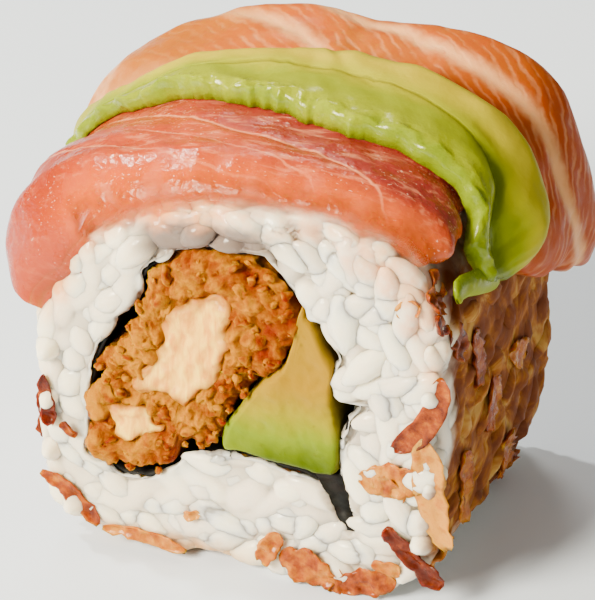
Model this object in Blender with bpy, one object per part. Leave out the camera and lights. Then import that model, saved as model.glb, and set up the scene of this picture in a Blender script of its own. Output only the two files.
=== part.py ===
"""One cut piece of a rainbow roll.

A short log of sushi rice lies on its side with its axis along Y and its cut face towards -Y.
A band of seaweed inside the rice holds a crumbed cutlet and a wedge of avocado. Slices of tuna,
avocado and salmon are draped over the top. The origin is on the surface the piece stands on,
under the middle of the log. All sizes are in metres.
"""

import math
import random

import bmesh
import bpy
from mathutils import Matrix, Vector

MM = 0.001
GAP = 0.3 * MM              # clearance between pieces that touch
SLACK = 0.1 * MM            # added to it where both surfaces are coarse

# The log of rice
HALF_DEPTH = 16.0 * MM      # the log runs from -HALF_DEPTH to +HALF_DEPTH along Y
CENTRE_X = 0.5 * MM
CENTRE_Z = 20.0 * MM
REACH_RIGHT = 21.3 * MM
REACH_LEFT = 22.2 * MM
REACH_UP = 21.5 * MM
REACH_DOWN = 20.25 * MM     # a little below the floor, so that the underside is cut flat
SQUARE_UP_RIGHT = 3.6       # superellipse exponents: 2 is round, more is squarer
SQUARE_UP_LEFT = 2.1
SQUARE_DOWN = 5.0
REAR_SWELL = 1.2 * MM       # the log is this much fatter at its rear end
SHOULDER_SWELL = 2.2 * MM   # and bulges this much on its upper left, behind the cut
SHOULDER_PLACE = -22.0 * MM
SHOULDER_WIDTH = 9.0 * MM
SHOULDER_START = -10.0 * MM
FACE_INSET = 0.9 * MM       # the core stops short of the ends, and grains fill the rest
CORE_SIDES = 48
CORE_RINGS = ((0.0, 2.4), (0.35, 1.1), (1.1, 0.35), (2.6, 0.0), (9.0, 0.0))     # depth and inset, in mm
LOWEST_GRAIN = 1.2 * MM     # grains on the ends stay above this height

# Grains of rice
GRAIN_LENGTH = 6.2 * MM
GRAIN_WIDTH = 3.1 * MM
GRAIN_SPACING = 3.3 * MM
REAR_SPREAD = 1.15          # grains lie farther apart on the rear end and on the sides
SIDE_SPREAD = 1.45
GRAIN_BALL = 0.56           # a coarse ball of this radius fills as much as a grain one wide
GRAIN_PROUD = 0.45 * MM     # how far grains stand out of the log's sides
GRAIN_TUCK_LEFT = 2.7 * MM  # how far grains keep below the slices' edges
GRAIN_TUCK_RIGHT = 0.8 * MM
GRAIN_SHORTENING = 0.9 * MM
FACE_FIELD = ((-24 * MM, 0.0), (24 * MM, 44 * MM))
FACE_THROWS = 4200
SIDE_FIELD = ((24 * MM, -12.6 * MM), (60.5 * MM, 12.6 * MM))
SIDE_THROWS = 2200
COVER_RIGHT = ((-16, 22.0), (-13, 25.5), (-9, 27.0), (-5, 28.8), (2, 30.0), (8, 31.6), (16, 34.6))
COVER_LEFT = ((-16, 30.0), (16, 30.6))          # depth, and how far round the slices reach, in mm
COVER_CLEARANCE = 2.4 * MM

# The band of seaweed, whose points run round the filling from upper left
NORI_THICKNESS = 0.5 * MM
NORI_PATH = (
    (-9.3, 31.9), (-4.6, 35.0), (1.2, 35.5), (4.8, 33.7), (7.9, 29.2), (9.9, 24.6),
    (10.4, 18.6), (10.2, 13.3), (6.2, 12.6), (0.6, 13.4), (-4.4, 11.2), (-9.4, 8.9),
    (-14.4, 9.4), (-16.1, 13.8), (-14.7, 20.6), (-12.2, 26.8),
)
TAIL_THICKNESS = 0.9 * MM   # the two ends of the sheet, pressed together
TAIL_PATH = ((10.0, 13.8), (10.7, 10.6), (11.4, 6.8))
TAIL_SLOT_END = (11.46, 6.5)
NORI_HALF_DEPTH = 15.7 * MM

# The crumbed cutlet: its coating, and the two pale pieces of meat that show in the cut
COATING_PATH = (
    (-9.2, 29.8), (-6.7, 32.8), (-2.6, 34.2), (1.6, 33.9), (4.8, 31.2), (6.0, 27.2),
    (4.2, 23.9), (1.4, 21.3), (-0.9, 17.0), (-3.4, 13.9), (-7.6, 10.6), (-11.6, 10.2),
    (-14.6, 11.8), (-15.1, 15.2), (-13.9, 20.0), (-12.1, 24.6),
)
CORE_LARGE_PATH = (
    (-6.4, 29.8), (-3.6, 31.2), (-0.6, 30.4), (-0.2, 26.2), (-1.0, 22.0), (-3.4, 19.5),
    (-7.0, 19.3), (-9.6, 20.2), (-8.4, 25.4),
)
CORE_SMALL_PATH = ((-12.6, 15.6), (-10.0, 17.0), (-7.4, 15.8), (-8.0, 13.6), (-11.6, 13.4))
COATING_HALF_DEPTH = 15.9 * MM
CORE_HALF_DEPTH = 16.5 * MM
CRUMB_RADIUS = 1.9 * MM
CRUMB_SPACING = 3.2 * MM
CRUMB_FIELD = ((-17 * MM, 8 * MM), (8 * MM, 37 * MM))
CRUMB_THROWS = 2600
SMALLEST_CRUMB = 1.1 * MM

# The wedge of avocado beside the cutlet
WEDGE_PATH = (
    (7.0, 29.2), (8.8, 25.2), (9.5, 19.6), (9.3, 14.1), (6.0, 13.6), (1.2, 14.5),
    (-1.6, 14.2), (0.6, 17.6), (3.4, 21.4), (6.6, 25.4),
)
WEDGE_HALF_DEPTH = 15.9 * MM
WEDGE_ROUNDING = 0.3 * MM
END_ROUNDING = 0.7 * MM

# The three slices on top; each line is (distance from the top centre round the log, depth), in mm
TUNA_FRONT = ((-30, -16.4), (-12, -16.3), (-3, -15.9), (3, -14.9), (10, -14.7), (19, -15.2))
SALMON_REAR = 16.3 * MM
DROOP_START = 13.2 * MM     # from here outwards the outer slices follow the rounded rim
DROOP_RUN = 3.1 * MM
DROOP_LEFT = 2.4 * MM       # how far the tuna hangs down over the cut on the left
DROOP_RIGHT = 0.5 * MM
TUNA_THICKNESS = 3.0 * MM
SALMON_THICKNESS = 3.9 * MM
AVOCADO_THICKNESS = 2.3 * MM
SEAM_THICKNESS = 2.9 * MM   # tuna and salmon are equally thick where they meet
SALMON_RIDGE = 1.9 * MM     # the salmon stands up here at its cut edge
RIDGE_PLACE = 15.0 * MM
RIDGE_WIDTH = 6.5 * MM
SALMON_CROWN = 1.0 * MM     # and a little more again near the top
CROWN_PLACE = -6.0 * MM
CROWN_WIDTH = 8.0 * MM
TUNA_BULGE = 1.2 * MM       # the tuna bulges where it turns down at the left
BULGE_PLACE = -20.5 * MM
BULGE_WIDTH = 6.0 * MM
TUNA_FLARE = 1.1 * MM       # the slices' ends stand off the rice
SALMON_FLARE = 0.4 * MM
LEFT_THINNING = 0.9 * MM    # where they meet, they are thinner towards the left
EDGE_CROWDING = 0.07
AVOCADO_FRONT = ((-30, 2.6), (-22, 1.4), (-18, 1.6), (-14.4, -0.2), (-10, -1.4), (-3, -3.2),
                 (2.6, -4.4), (8, -5.6), (14, -6.0), (18.4, -6.0), (20.4, -4.9), (24.2, -4.2), (28.6, -1.8))
AVOCADO_REAR = ((-30, 10.2), (-22, 8.2), (-16, 4.2), (-12, 4.0), (-9.5, 4.8), (-5, 4.5), (0, 5.7),
                (4, 6.5), (9.7, 6.4), (12.5, 5.6), (15.8, 4.2), (18.8, 2.7), (21, 1.5), (25.3, 0.9),
                (28.6, -0.6))
TUNA_LEFT = ((-16.3, -29.0), (-10, -28.8), (-4, -28.2), (4, -27.6))
TUNA_RIGHT = ((-16.3, 17.9), (-14, 19.2), (-10, 19.8), (-8, 19.2), (-5, 18.4), (4, 18.0))
SALMON_LEFT = ((-4, -27.6), (6, -28.6), (16.3, -29.4))
SALMON_RIGHT = ((-3, 24.0), (1.5, 25.7), (5.5, 28.4), (8.6, 30.2), (11.6, 31.8), (16.3, 34.4))
AVOCADO_LEFT_END = -28.6
AVOCADO_RIGHT_END = 27.9
TONGUE = ((27.6, -1.6, 1.1, 1.9), (26.2, -4.0, 1.1, 1.8), (25.0, -7.0, 1.0, 1.6),
          (23.9, -11.2, 0.65, 1.3))              # distance, depth, half width and height
TONGUE_UNDERSIDE = 0.6 * MM
REST_REACH = 0.6 * MM       # the avocado clears what lies within this distance

# Fried onion flakes on the cut face: x, z, heading in degrees, length, width, bow in degrees
FACE_FLAKES = (
    (19.9, 21.6, 62, 10.5, 3.0, 62),
    (16.2, 14.1, 8, 6.6, 4.0, 14),
    (18.6, 5.6, -38, 7.2, 4.4, 20),
    (7.6, 2.4, -26, 7.6, 4.2, 24),
    (3.4, 2.9, 60, 4.6, 3.0, 10),
    (14.6, 2.0, 30, 4.6, 3.0, 18),
    (-17.6, 4.6, -34, 8.6, 2.6, -30),
    (-9.6, 1.7, -6, 9.0, 2.2, -14),
    (-20.6, 15.6, -78, 6.0, 2.4, 16),
    (-17.4, 12.9, -50, 2.4, 1.6, 0),
    (17.6, 33.6, 20, 2.8, 2.0, 0),
    (0.2, 6.5, 12, 3.2, 1.8, 10),
)
FLAKE_THICKNESS = 1.1 * MM
FLAKE_SINK = 0.1 * MM
FLAKE_STATIONS = 4
FLAKE_TAPER = 1.75
FLAKE_CURL = 0.12

# Flakes pressed into the sides: distance round the log, depth, heading, length, width, bow
RIGHT_FLAKES = (
    (36.5, -10.6, 84, 11.5, 3.4, 16), (33.0, -4.6, 60, 8.0, 4.4, 20), (44.0, -6.0, 96, 8.5, 3.6, -24),
    (50.0, -9.0, 70, 9.5, 4.6, 14), (39.0, 1.4, 110, 9.0, 4.4, 30), (48.5, 1.0, 80, 8.0, 4.6, -18),
    (56.0, -3.0, 100, 7.5, 4.0, 22), (43.0, 8.0, 74, 9.0, 4.6, 16), (51.0, 8.6, 120, 8.0, 3.8, -20),
    (47.0, 13.6, 88, 7.0, 3.2, 10), (56.5, 6.6, 60, 7.0, 4.0, 18), (28.4, -12.6, 40, 5.0, 3.0, 12),
    (40.2, 14.2, 10, 7.5, 3.6, 12), (53.6, 13.4, 24, 7.0, 3.6, -14),
)
LEFT_FLAKES = (
    (-36.0, -9.0, 80, 8.0, 4.0, 20), (-44.5, -4.0, 100, 9.0, 4.2, -18), (-38.5, 3.0, 62, 8.5, 4.4, 24),
    (-49.0, -11.0, 70, 8.0, 3.6, 12), (-46.5, 8.5, 92, 9.0, 4.6, -22), (-54.5, 1.5, 84, 8.5, 4.0, 16),
    (-38.0, 11.6, 116, 7.5, 3.8, 14), (-55.0, -7.5, 60, 6.5, 3.6, 10), (-53.5, 11.5, 100, 7.0, 3.6, -14),
)
REAR_FLAKES = (
    (-18.6, 9.0, 50, 7.0, 3.2, -30), (17.0, 7.0, -40, 7.5, 3.6, 24), (-6.0, 3.4, 10, 7.0, 2.8, 16),
    (18.6, 22.0, 80, 6.0, 3.0, 30), (-18.4, 22.6, 96, 5.5, 2.6, -20),
)


def between(knots, value):
    """Read a smooth line through knots of (place, height)."""
    if value <= knots[0][0]:
        return knots[0][1]
    for (x0, y0), (x1, y1) in zip(knots, knots[1:]):
        if value <= x1:
            t = (value - x0) / (x1 - x0)
            return y0 + (y1 - y0) * t * t * (3 - 2 * t)
    return knots[-1][1]


def smooth_step(value, start, end):
    t = min(max((value - start) / (end - start), 0.0), 1.0)
    return t * t * (3 - 2 * t)


def hump(distance, place, width):
    """A smooth hump, 1 at its place round the log."""
    beside = (distance - place) / width
    return math.exp(-beside * beside)


class Log:
    """The log's surface, measured by the distance round it from the top centre, + to the right."""

    STEPS = 1440

    def __init__(self):
        half = self.STEPS // 2
        self.points = [self.outline(math.pi * i / half) for i in range(-half, half + 1)]
        self.distance = [0.0]
        for a, b in zip(self.points, self.points[1:]):
            self.distance.append(self.distance[-1] + (b - a).length)
        top = self.distance[half]
        self.distance = [d - top for d in self.distance]
        self.left_end = self.distance[0]
        self.right_end = self.distance[-1]

    def outline(self, angle):
        """A point of the superellipse, by its angle clockwise from straight up."""
        across, up = math.sin(angle), math.cos(angle)
        reach_x = REACH_RIGHT if across >= 0 else REACH_LEFT
        reach_z = REACH_UP if up >= 0 else REACH_DOWN
        power = SQUARE_DOWN
        if up >= 0:
            power = SQUARE_UP_RIGHT if across >= 0 else SQUARE_UP_LEFT
        radius = (abs(across / reach_x) ** power + abs(up / reach_z) ** power) ** (-1 / power)
        return Vector((CENTRE_X + radius * across, CENTRE_Z + radius * up))

    def frame(self, distance):
        """The place on the outline at a distance, and the outward direction there."""
        low, high = 0, self.STEPS
        while high - low > 1:
            middle = (low + high) // 2
            if self.distance[middle] <= distance:
                low = middle
            else:
                high = middle
        span = self.distance[high] - self.distance[low]
        place = self.points[low].lerp(self.points[high], (distance - self.distance[low]) / span)
        before = self.points[max(low - 6, 0)]
        after = self.points[min(high + 6, self.STEPS)]
        along = (after - before).normalized()
        return place, Vector((-along.y, along.x))

    def point(self, distance, depth, lift):
        """A point lifted off the surface; the log swells towards its rear end."""
        place, outward = self.frame(distance)
        swell = REAR_SWELL * smooth_step(depth, -HALF_DEPTH, HALF_DEPTH)
        shoulder = SHOULDER_SWELL * hump(distance, SHOULDER_PLACE, SHOULDER_WIDTH)
        shoulder *= smooth_step(depth, -HALF_DEPTH - GAP, SHOULDER_START)
        place = place + outward * (swell + shoulder + lift)
        return Vector((place.x, depth, place.y))

    def basis(self, distance, depth):
        """Axes on the surface: round the log, along it, and outwards."""
        outward = self.frame(distance)[1]
        normal = Vector((outward.x, 0.0, outward.y))
        along = Vector((0.0, 1.0, 0.0))
        return Matrix((along.cross(normal), along, normal)).transposed()


LOG = Log()


def clear_scene():
    for item in list(bpy.data.objects):
        bpy.data.objects.remove(item, do_unlink=True)


def finish_material(name, red, green, blue, roughness):
    """A Principled material whose colour is given as it looks on screen."""
    material = bpy.data.materials.new(name)
    material.use_nodes = True
    shader = material.node_tree.nodes["Principled BSDF"]
    linear = [((c + 0.055) / 1.055) ** 2.4 if c > 0.04045 else c / 12.92 for c in (red, green, blue)]
    shader.inputs["Base Color"].default_value = (*linear, 1.0)
    shader.inputs["Roughness"].default_value = roughness
    shader.inputs["Metallic"].default_value = 0.0
    material.diffuse_color = (*linear, 1.0)
    return material


def new_object(name, mesh_maker, material, collection=None):
    """Turn a finished bmesh into an object with smooth shading."""
    mesh = bpy.data.meshes.new(name)
    mesh_maker.to_mesh(mesh)
    mesh_maker.free()
    if material:
        mesh.materials.append(material)
    mesh.shade_smooth()
    mesh.set_sharp_from_angle(angle=math.radians(50))
    item = bpy.data.objects.new(name, mesh)
    (collection or bpy.context.scene.collection).objects.link(item)
    return item


def cut_or_join(item, operation, others, solver="EXACT"):
    """Apply one Boolean between an object and a list of others, and remove those."""
    group = bpy.data.collections.new("operands")
    bpy.context.scene.collection.children.link(group)
    for other in others:
        for owner in list(other.users_collection):
            owner.objects.unlink(other)
        group.objects.link(other)
    modifier = item.modifiers.new("boolean", "BOOLEAN")
    modifier.operation = operation
    modifier.operand_type = "COLLECTION"
    modifier.collection = group
    modifier.solver = solver
    bpy.context.view_layer.update()
    depsgraph = bpy.context.evaluated_depsgraph_get()
    mesh = bpy.data.meshes.new_from_object(item.evaluated_get(depsgraph))
    item.modifiers.clear()
    item.data = mesh
    for other in others:
        bpy.data.objects.remove(other, do_unlink=True)
    bpy.data.collections.remove(group)
    return item


def keep_one_body(item):
    """Triangulate, and drop the scraps and sealed hollows that joining leaves."""
    shape = bmesh.new()
    shape.from_mesh(item.data)
    bmesh.ops.remove_doubles(shape, verts=shape.verts[:], dist=0.002 * MM)
    bmesh.ops.dissolve_degenerate(shape, dist=0.002 * MM, edges=shape.edges[:])
    bmesh.ops.triangulate(shape, faces=shape.faces[:])
    seen = set()
    islands = []
    for start in shape.faces:
        if start in seen:
            continue
        island = []
        waiting = [start]
        seen.add(start)
        while waiting:
            face = waiting.pop()
            island.append(face)
            for edge in face.edges:
                for other in edge.link_faces:
                    if other not in seen:
                        seen.add(other)
                        waiting.append(other)
        islands.append(island)
    islands.sort(key=len)
    scraps = [face for island in islands[:-1] for face in island]
    bmesh.ops.delete(shape, geom=scraps, context="FACES")
    shape.to_mesh(item.data)
    shape.free()
    item.data.shade_smooth()
    item.data.set_sharp_from_angle(angle=math.radians(50))


def smooth_outline(points, per_span=2):
    """A closed Catmull-Rom curve through points given in mm as (x, z)."""
    knots = [Vector(p) * MM for p in points]
    count = len(knots)
    outline = []
    for i in range(count):
        a, b, c, d = (knots[(i + k) % count] for k in (-1, 0, 1, 2))
        for step in range(per_span):
            t = step / per_span
            outline.append(0.5 * (2 * b + (c - a) * t + (2 * a - 5 * b + 4 * c - d) * t * t
                                  + (3 * b - 3 * c + d - a) * t ** 3))
    return outline


def offset_outline(outline, distance):
    """Move a closed clockwise outline outwards by a distance."""
    count = len(outline)
    moved = []
    for i, point in enumerate(outline):
        along = (outline[(i + 1) % count] - outline[i - 1]).normalized()
        moved.append(point + Vector((-along.y, along.x)) * distance)
    return moved


def clearance(point, outline):
    """Distance from a point to a closed outline, negative inside it."""
    inside = False
    nearest = 1.0
    for a, b in zip(outline, outline[1:] + outline[:1]):
        side = b - a
        t = min(max((point - a).dot(side) / side.length_squared, 0.0), 1.0)
        nearest = min(nearest, (point - a - side * t).length)
        if (a.y > point.y) != (b.y > point.y):
            if point.x < a.x + (point.y - a.y) / (b.y - a.y) * (b.x - a.x):
                inside = not inside
    return -nearest if inside else nearest


def add_prism(shape, outline, front, rear, rounding=0.0):
    """Extrude an outline along Y, with its two end edges rounded off."""
    corners = [shape.verts.new((p.x, front, p.y)) for p in outline]
    face = shape.faces.new(corners)
    face.normal_update()
    if face.normal.y > 0:
        face.normal_flip()
    grown = bmesh.ops.extrude_face_region(shape, geom=[face], use_keep_orig=True)
    lifted = [g for g in grown["geom"] if isinstance(g, bmesh.types.BMVert)]
    bmesh.ops.translate(shape, verts=lifted, vec=(0.0, rear - front, 0.0))
    bmesh.ops.recalc_face_normals(shape, faces=shape.faces[:])
    if rounding:
        ends = [e for e in shape.edges if abs(e.verts[0].co.y - e.verts[1].co.y) < rounding / 2]
        bmesh.ops.bevel(shape, geom=ends, offset=rounding, segments=2, profile=0.5,
                        affect="EDGES", material=-1)


def prism_object(name, outline, half_depth, material=None, rounding=0.0):
    shape = bmesh.new()
    add_prism(shape, outline, -half_depth, half_depth, rounding)
    return new_object(name, shape, material)


def strip_outline(path, thickness):
    """A flat strip's outline, of even thickness, round a line of points in mm."""
    line = [Vector(p) * MM for p in path]
    left, right = [], []
    for i, point in enumerate(line):
        along = (line[min(i + 1, len(line) - 1)] - line[max(i - 1, 0)]).normalized()
        side = Vector((-along.y, along.x)) * thickness / 2
        left.append(point + side)
        right.append(point - side)
    return left + right[::-1]


def nori_middle():
    return smooth_outline(NORI_PATH)


def rice_hole():
    return offset_outline(nori_middle(), NORI_THICKNESS / 2 + GAP)


def make_nori(material):
    """The seaweed: a closed band, with the pressed ends of the sheet running into the rice."""
    middle = nori_middle()
    band = prism_object("nori", offset_outline(middle, NORI_THICKNESS / 2), NORI_HALF_DEPTH, material)
    bore = prism_object("bore", offset_outline(middle, -NORI_THICKNESS / 2), NORI_HALF_DEPTH * 1.1)
    tail = prism_object("tail", strip_outline(TAIL_PATH, TAIL_THICKNESS), NORI_HALF_DEPTH * 0.998)
    cut_or_join(band, "UNION", [tail])
    cut_or_join(band, "DIFFERENCE", [bore])
    keep_one_body(band)
    return band


def side_sink(distance):
    """The core lies a little lower where grains and flakes cover it, past the slices."""
    return GRAIN_PROUD * smooth_step(abs(distance), 26 * MM, 32 * MM)


def rice_core(material):
    """The log itself: rings of points round it, inset at both ends, with the filling's hole cut out."""
    span = LOG.right_end - LOG.left_end
    face = HALF_DEPTH - FACE_INSET
    rear_rings = [(face - behind * MM, inset * MM) for behind, inset in CORE_RINGS]
    front_rings = [(-depth, inset) for depth, inset in rear_rings]
    shape = bmesh.new()
    loops = []
    for depth, inset in front_rings + rear_rings[::-1]:
        loop = []
        for i in range(CORE_SIDES):
            distance = LOG.left_end + span * (i + 0.5) / CORE_SIDES
            place = LOG.point(distance, depth, -inset - side_sink(distance))
            loop.append(shape.verts.new(place))
        loops.append(loop)
    for first, second in zip(loops, loops[1:]):
        for i in range(CORE_SIDES):
            j = (i + 1) % CORE_SIDES
            shape.faces.new((first[i], first[j], second[j], second[i]))
    shape.faces.new(loops[0])
    shape.faces.new(loops[-1][::-1])
    bmesh.ops.recalc_face_normals(shape, faces=shape.faces[:])
    core = new_object("rice", shape, material)
    hole = prism_object("hole", rice_hole(), HALF_DEPTH * 1.2)
    slot_path = TAIL_PATH + (TAIL_SLOT_END,)
    slot = prism_object("slot", strip_outline(slot_path, TAIL_THICKNESS + 2 * GAP), HALF_DEPTH * 1.21)
    cut_or_join(core, "DIFFERENCE", [hole, slot])
    return core


def grain(name, place, axes, length, width, group):
    """One grain: a low barrel with five sides, its long side along the first axis."""
    shape = bmesh.new()
    bmesh.ops.create_uvsphere(shape, u_segments=5, v_segments=3, radius=GRAIN_BALL)
    turn = Matrix.Rotation(math.pi / 2, 4, "Y")
    bmesh.ops.transform(shape, matrix=turn, verts=shape.verts[:])
    bmesh.ops.scale(shape, vec=(length, width, width * 0.9), verts=shape.verts[:])
    bmesh.ops.transform(shape, matrix=Matrix.Translation(place) @ axes.to_4x4(), verts=shape.verts[:])
    return new_object(name, shape, None, group)


def flake(name, place, axes, length, width, thickness, bow, draw, group):
    """One fried flake: a thin strip with ragged edges, bowed in its own plane and a little curled."""
    bend = math.radians(bow)
    shape = bmesh.new()
    rows = []
    for i in range(FLAKE_STATIONS + 1):
        t = i / FLAKE_STATIONS - 0.5
        angle = bend * t
        if abs(bend) > 0.01:
            middle = Vector((math.sin(angle), 1 - math.cos(angle), 0.0)) * (length / bend)
        else:
            middle = Vector((length * t, 0.0, 0.0))
        across = Vector((-math.sin(angle), math.cos(angle), 0.0))
        half = width / 2 * math.sqrt(max(1 - (FLAKE_TAPER * t) ** 2, 0.05)) * draw.uniform(0.8, 1.2)
        thick = thickness * draw.uniform(0.75, 1.2)
        rise = Vector((0.0, 0.0, FLAKE_CURL * length * t * t))
        top, low = Vector((0, 0, thick * 0.7)), Vector((0, 0, -thick * 0.6))
        corners = (across * half, across * half * 0.7 + top, across * -half * 0.7 + top,
                   across * -half, low)
        rows.append([shape.verts.new(middle + rise + c) for c in corners])
    for first, second in zip(rows, rows[1:]):
        for i in range(5):
            j = (i + 1) % 5
            shape.faces.new((first[i], second[i], second[j], first[j]))
    shape.faces.new(rows[0][::-1])
    shape.faces.new(rows[-1])
    bmesh.ops.recalc_face_normals(shape, faces=shape.faces[:])
    bmesh.ops.transform(shape, matrix=Matrix.Translation(place) @ axes.to_4x4(), verts=shape.verts[:])
    bmesh.ops.triangulate(shape, faces=shape.faces[:])
    return new_object(name, shape, None, group)


def spread(draw, field, spacing, allowed, throws):
    """Points thrown at random in a rectangle, none nearer to another than the spacing."""
    low, high = field
    chosen = []
    for _ in range(throws):
        point = Vector((draw.uniform(low[0], high[0]), draw.uniform(low[1], high[1])))
        if allowed(point) and all((point - other).length > spacing for other in chosen):
            chosen.append(point)
    return chosen


def covered_to(depth, side):
    """How far down a side the slices reach at a depth along the log."""
    return between(COVER_RIGHT if side > 0 else COVER_LEFT, depth / MM) * MM


def end_axes(facing, heading):
    """Axes on an end of the log, whose first axis has a heading in its plane."""
    along = Vector((math.cos(heading), 0.0, math.sin(heading)))
    normal = Vector((0.0, facing, 0.0))
    return Matrix((along, normal.cross(along), normal)).transposed()


def face_grains(facing, group):
    """Grains over one end of the log, clear of the hole and below the slices' edges."""
    draw = random.Random(11 if facing < 0 else 12)
    hole = rice_hole()
    swell = 0.0 if facing < 0 else REAR_SWELL
    rim = [LOG.frame(LOG.left_end + (LOG.right_end - LOG.left_end) * i / 90) for i in range(90)]
    outline = [place + outward * swell for place, outward in rim]
    slot = strip_outline(TAIL_PATH, TAIL_THICKNESS)
    made = []

    def room(point, radius):
        tuck = -GRAIN_PROUD
        if point.y > CENTRE_Z:
            lefthand = 1 - smooth_step(point.x, -2 * MM, 6 * MM) if facing < 0 else 0.0
            tuck = GRAIN_TUCK_RIGHT + (GRAIN_TUCK_LEFT - GRAIN_TUCK_RIGHT) * lefthand
        return (clearance(point, hole) > radius and clearance(point, slot) > radius + GAP
                and clearance(point, outline) < -radius - tuck and point.y > LOWEST_GRAIN)

    spacing = GRAIN_SPACING if facing < 0 else GRAIN_SPACING * REAR_SPREAD
    spots = spread(draw, FACE_FIELD, spacing, lambda spot: room(spot, GRAIN_WIDTH * 0.5), FACE_THROWS)
    centre = Vector((CENTRE_X, CENTRE_Z))
    for number, spot in enumerate(spots):
        radius = GRAIN_WIDTH * draw.uniform(0.44, 0.54)
        length = GRAIN_LENGTH * draw.uniform(0.82, 1.08)
        outward = spot - centre
        round_it = math.atan2(outward.y, outward.x) + math.pi / 2
        while length > 2.2 * radius:
            headings = [round_it + draw.gauss(0, 0.7) for _ in range(6)]
            fits = []
            for heading in headings:
                reach = Vector((math.cos(heading), math.sin(heading))) * (length / 2 - radius * 0.7)
                if all(room(spot + reach * part, radius) for part in (-1, -0.5, 0.5, 1)):
                    fits.append(heading)
            if fits:
                break
            length -= GRAIN_SHORTENING
        if not fits:
            continue
        heading = fits[0]
        pitch = draw.uniform(-0.22, 0.22)
        axes = end_axes(facing, heading) @ Matrix.Rotation(pitch, 3, "Y")
        depth = facing * (HALF_DEPTH - FACE_INSET - radius * draw.uniform(0.0, 0.32))
        place = Vector((spot.x, depth, spot.y))
        made.append(grain(f"grain_{facing:.0f}_{number}", place, axes, length, 2 * radius, group))
    return made


def side_grains(side, group):
    """Grains pressed into one side of the log, below the slices."""
    draw = random.Random(21 if side > 0 else 22)
    made = []

    def allowed(point):
        return point.x > covered_to(point.y, side) + COVER_CLEARANCE

    spots = spread(draw, SIDE_FIELD, GRAIN_SPACING * SIDE_SPREAD, allowed, SIDE_THROWS)
    for number, spot in enumerate(spots):
        radius = GRAIN_WIDTH * draw.uniform(0.42, 0.5)
        length = GRAIN_LENGTH * draw.uniform(0.8, 1.05)
        room = spot.x - covered_to(spot.y, side)
        heading = draw.uniform(-0.6, 0.6) + (math.pi / 2 if room < 5 * MM else draw.choice((0, 1.2)))
        distance = side * spot.x
        axes = LOG.basis(distance, spot.y) @ Matrix.Rotation(heading, 3, "Z")
        axes = axes @ Matrix.Rotation(draw.uniform(-0.12, 0.12), 3, "Y")
        place = LOG.point(distance, spot.y, GRAIN_PROUD * draw.uniform(0.4, 1.0) - radius * 0.9)
        made.append(grain(f"side_grain_{side}_{number}", place, axes, length, 2 * radius, group))
    return made


def all_flakes(group):
    """Fried onion flakes on the cut face, the sides and the rear end."""
    draw = random.Random(31)
    made = []
    ends = [(-1.0, row) for row in FACE_FLAKES] + [(1.0, row) for row in REAR_FLAKES]
    for number, (facing, (x, z, heading, length, width, bow)) in enumerate(ends):
        axes = end_axes(facing, math.radians(heading))
        place = Vector((x * MM, facing * (HALF_DEPTH - FLAKE_SINK), z * MM))
        made.append(flake(f"end_flake_{number}", place, axes, length * MM, width * MM,
                          FLAKE_THICKNESS, bow, draw, group))
    for number, (distance, depth, heading, length, width, bow) in enumerate(RIGHT_FLAKES + LEFT_FLAKES):
        axes = LOG.basis(distance * MM, depth * MM) @ Matrix.Rotation(math.radians(90 - heading), 3, "Z")
        place = LOG.point(distance * MM, depth * MM, -FLAKE_SINK)
        made.append(flake(f"side_flake_{number}", place, axes, length * MM, width * MM,
                          FLAKE_THICKNESS, bow, draw, group))
    return made


def make_rice(material):
    """The rice: the log, every grain and flake that shows on it, and a flat underside."""
    group = bpy.data.collections.new("loose")
    bpy.context.scene.collection.children.link(group)
    core = rice_core(material)
    loose = face_grains(-1.0, group) + face_grains(1.0, group)
    loose += side_grains(1, group) + side_grains(-1, group) + all_flakes(group)
    cut_or_join(core, "UNION", loose, "MANIFOLD")
    floor = bmesh.new()
    bmesh.ops.create_cube(floor, size=0.1)
    bmesh.ops.translate(floor, verts=floor.verts[:], vec=(0.0, 0.0, -0.05))
    cut_or_join(core, "DIFFERENCE", [new_object("floor", floor, None)], "MANIFOLD")
    keep_one_body(core)
    bpy.data.collections.remove(group)
    return core


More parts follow.
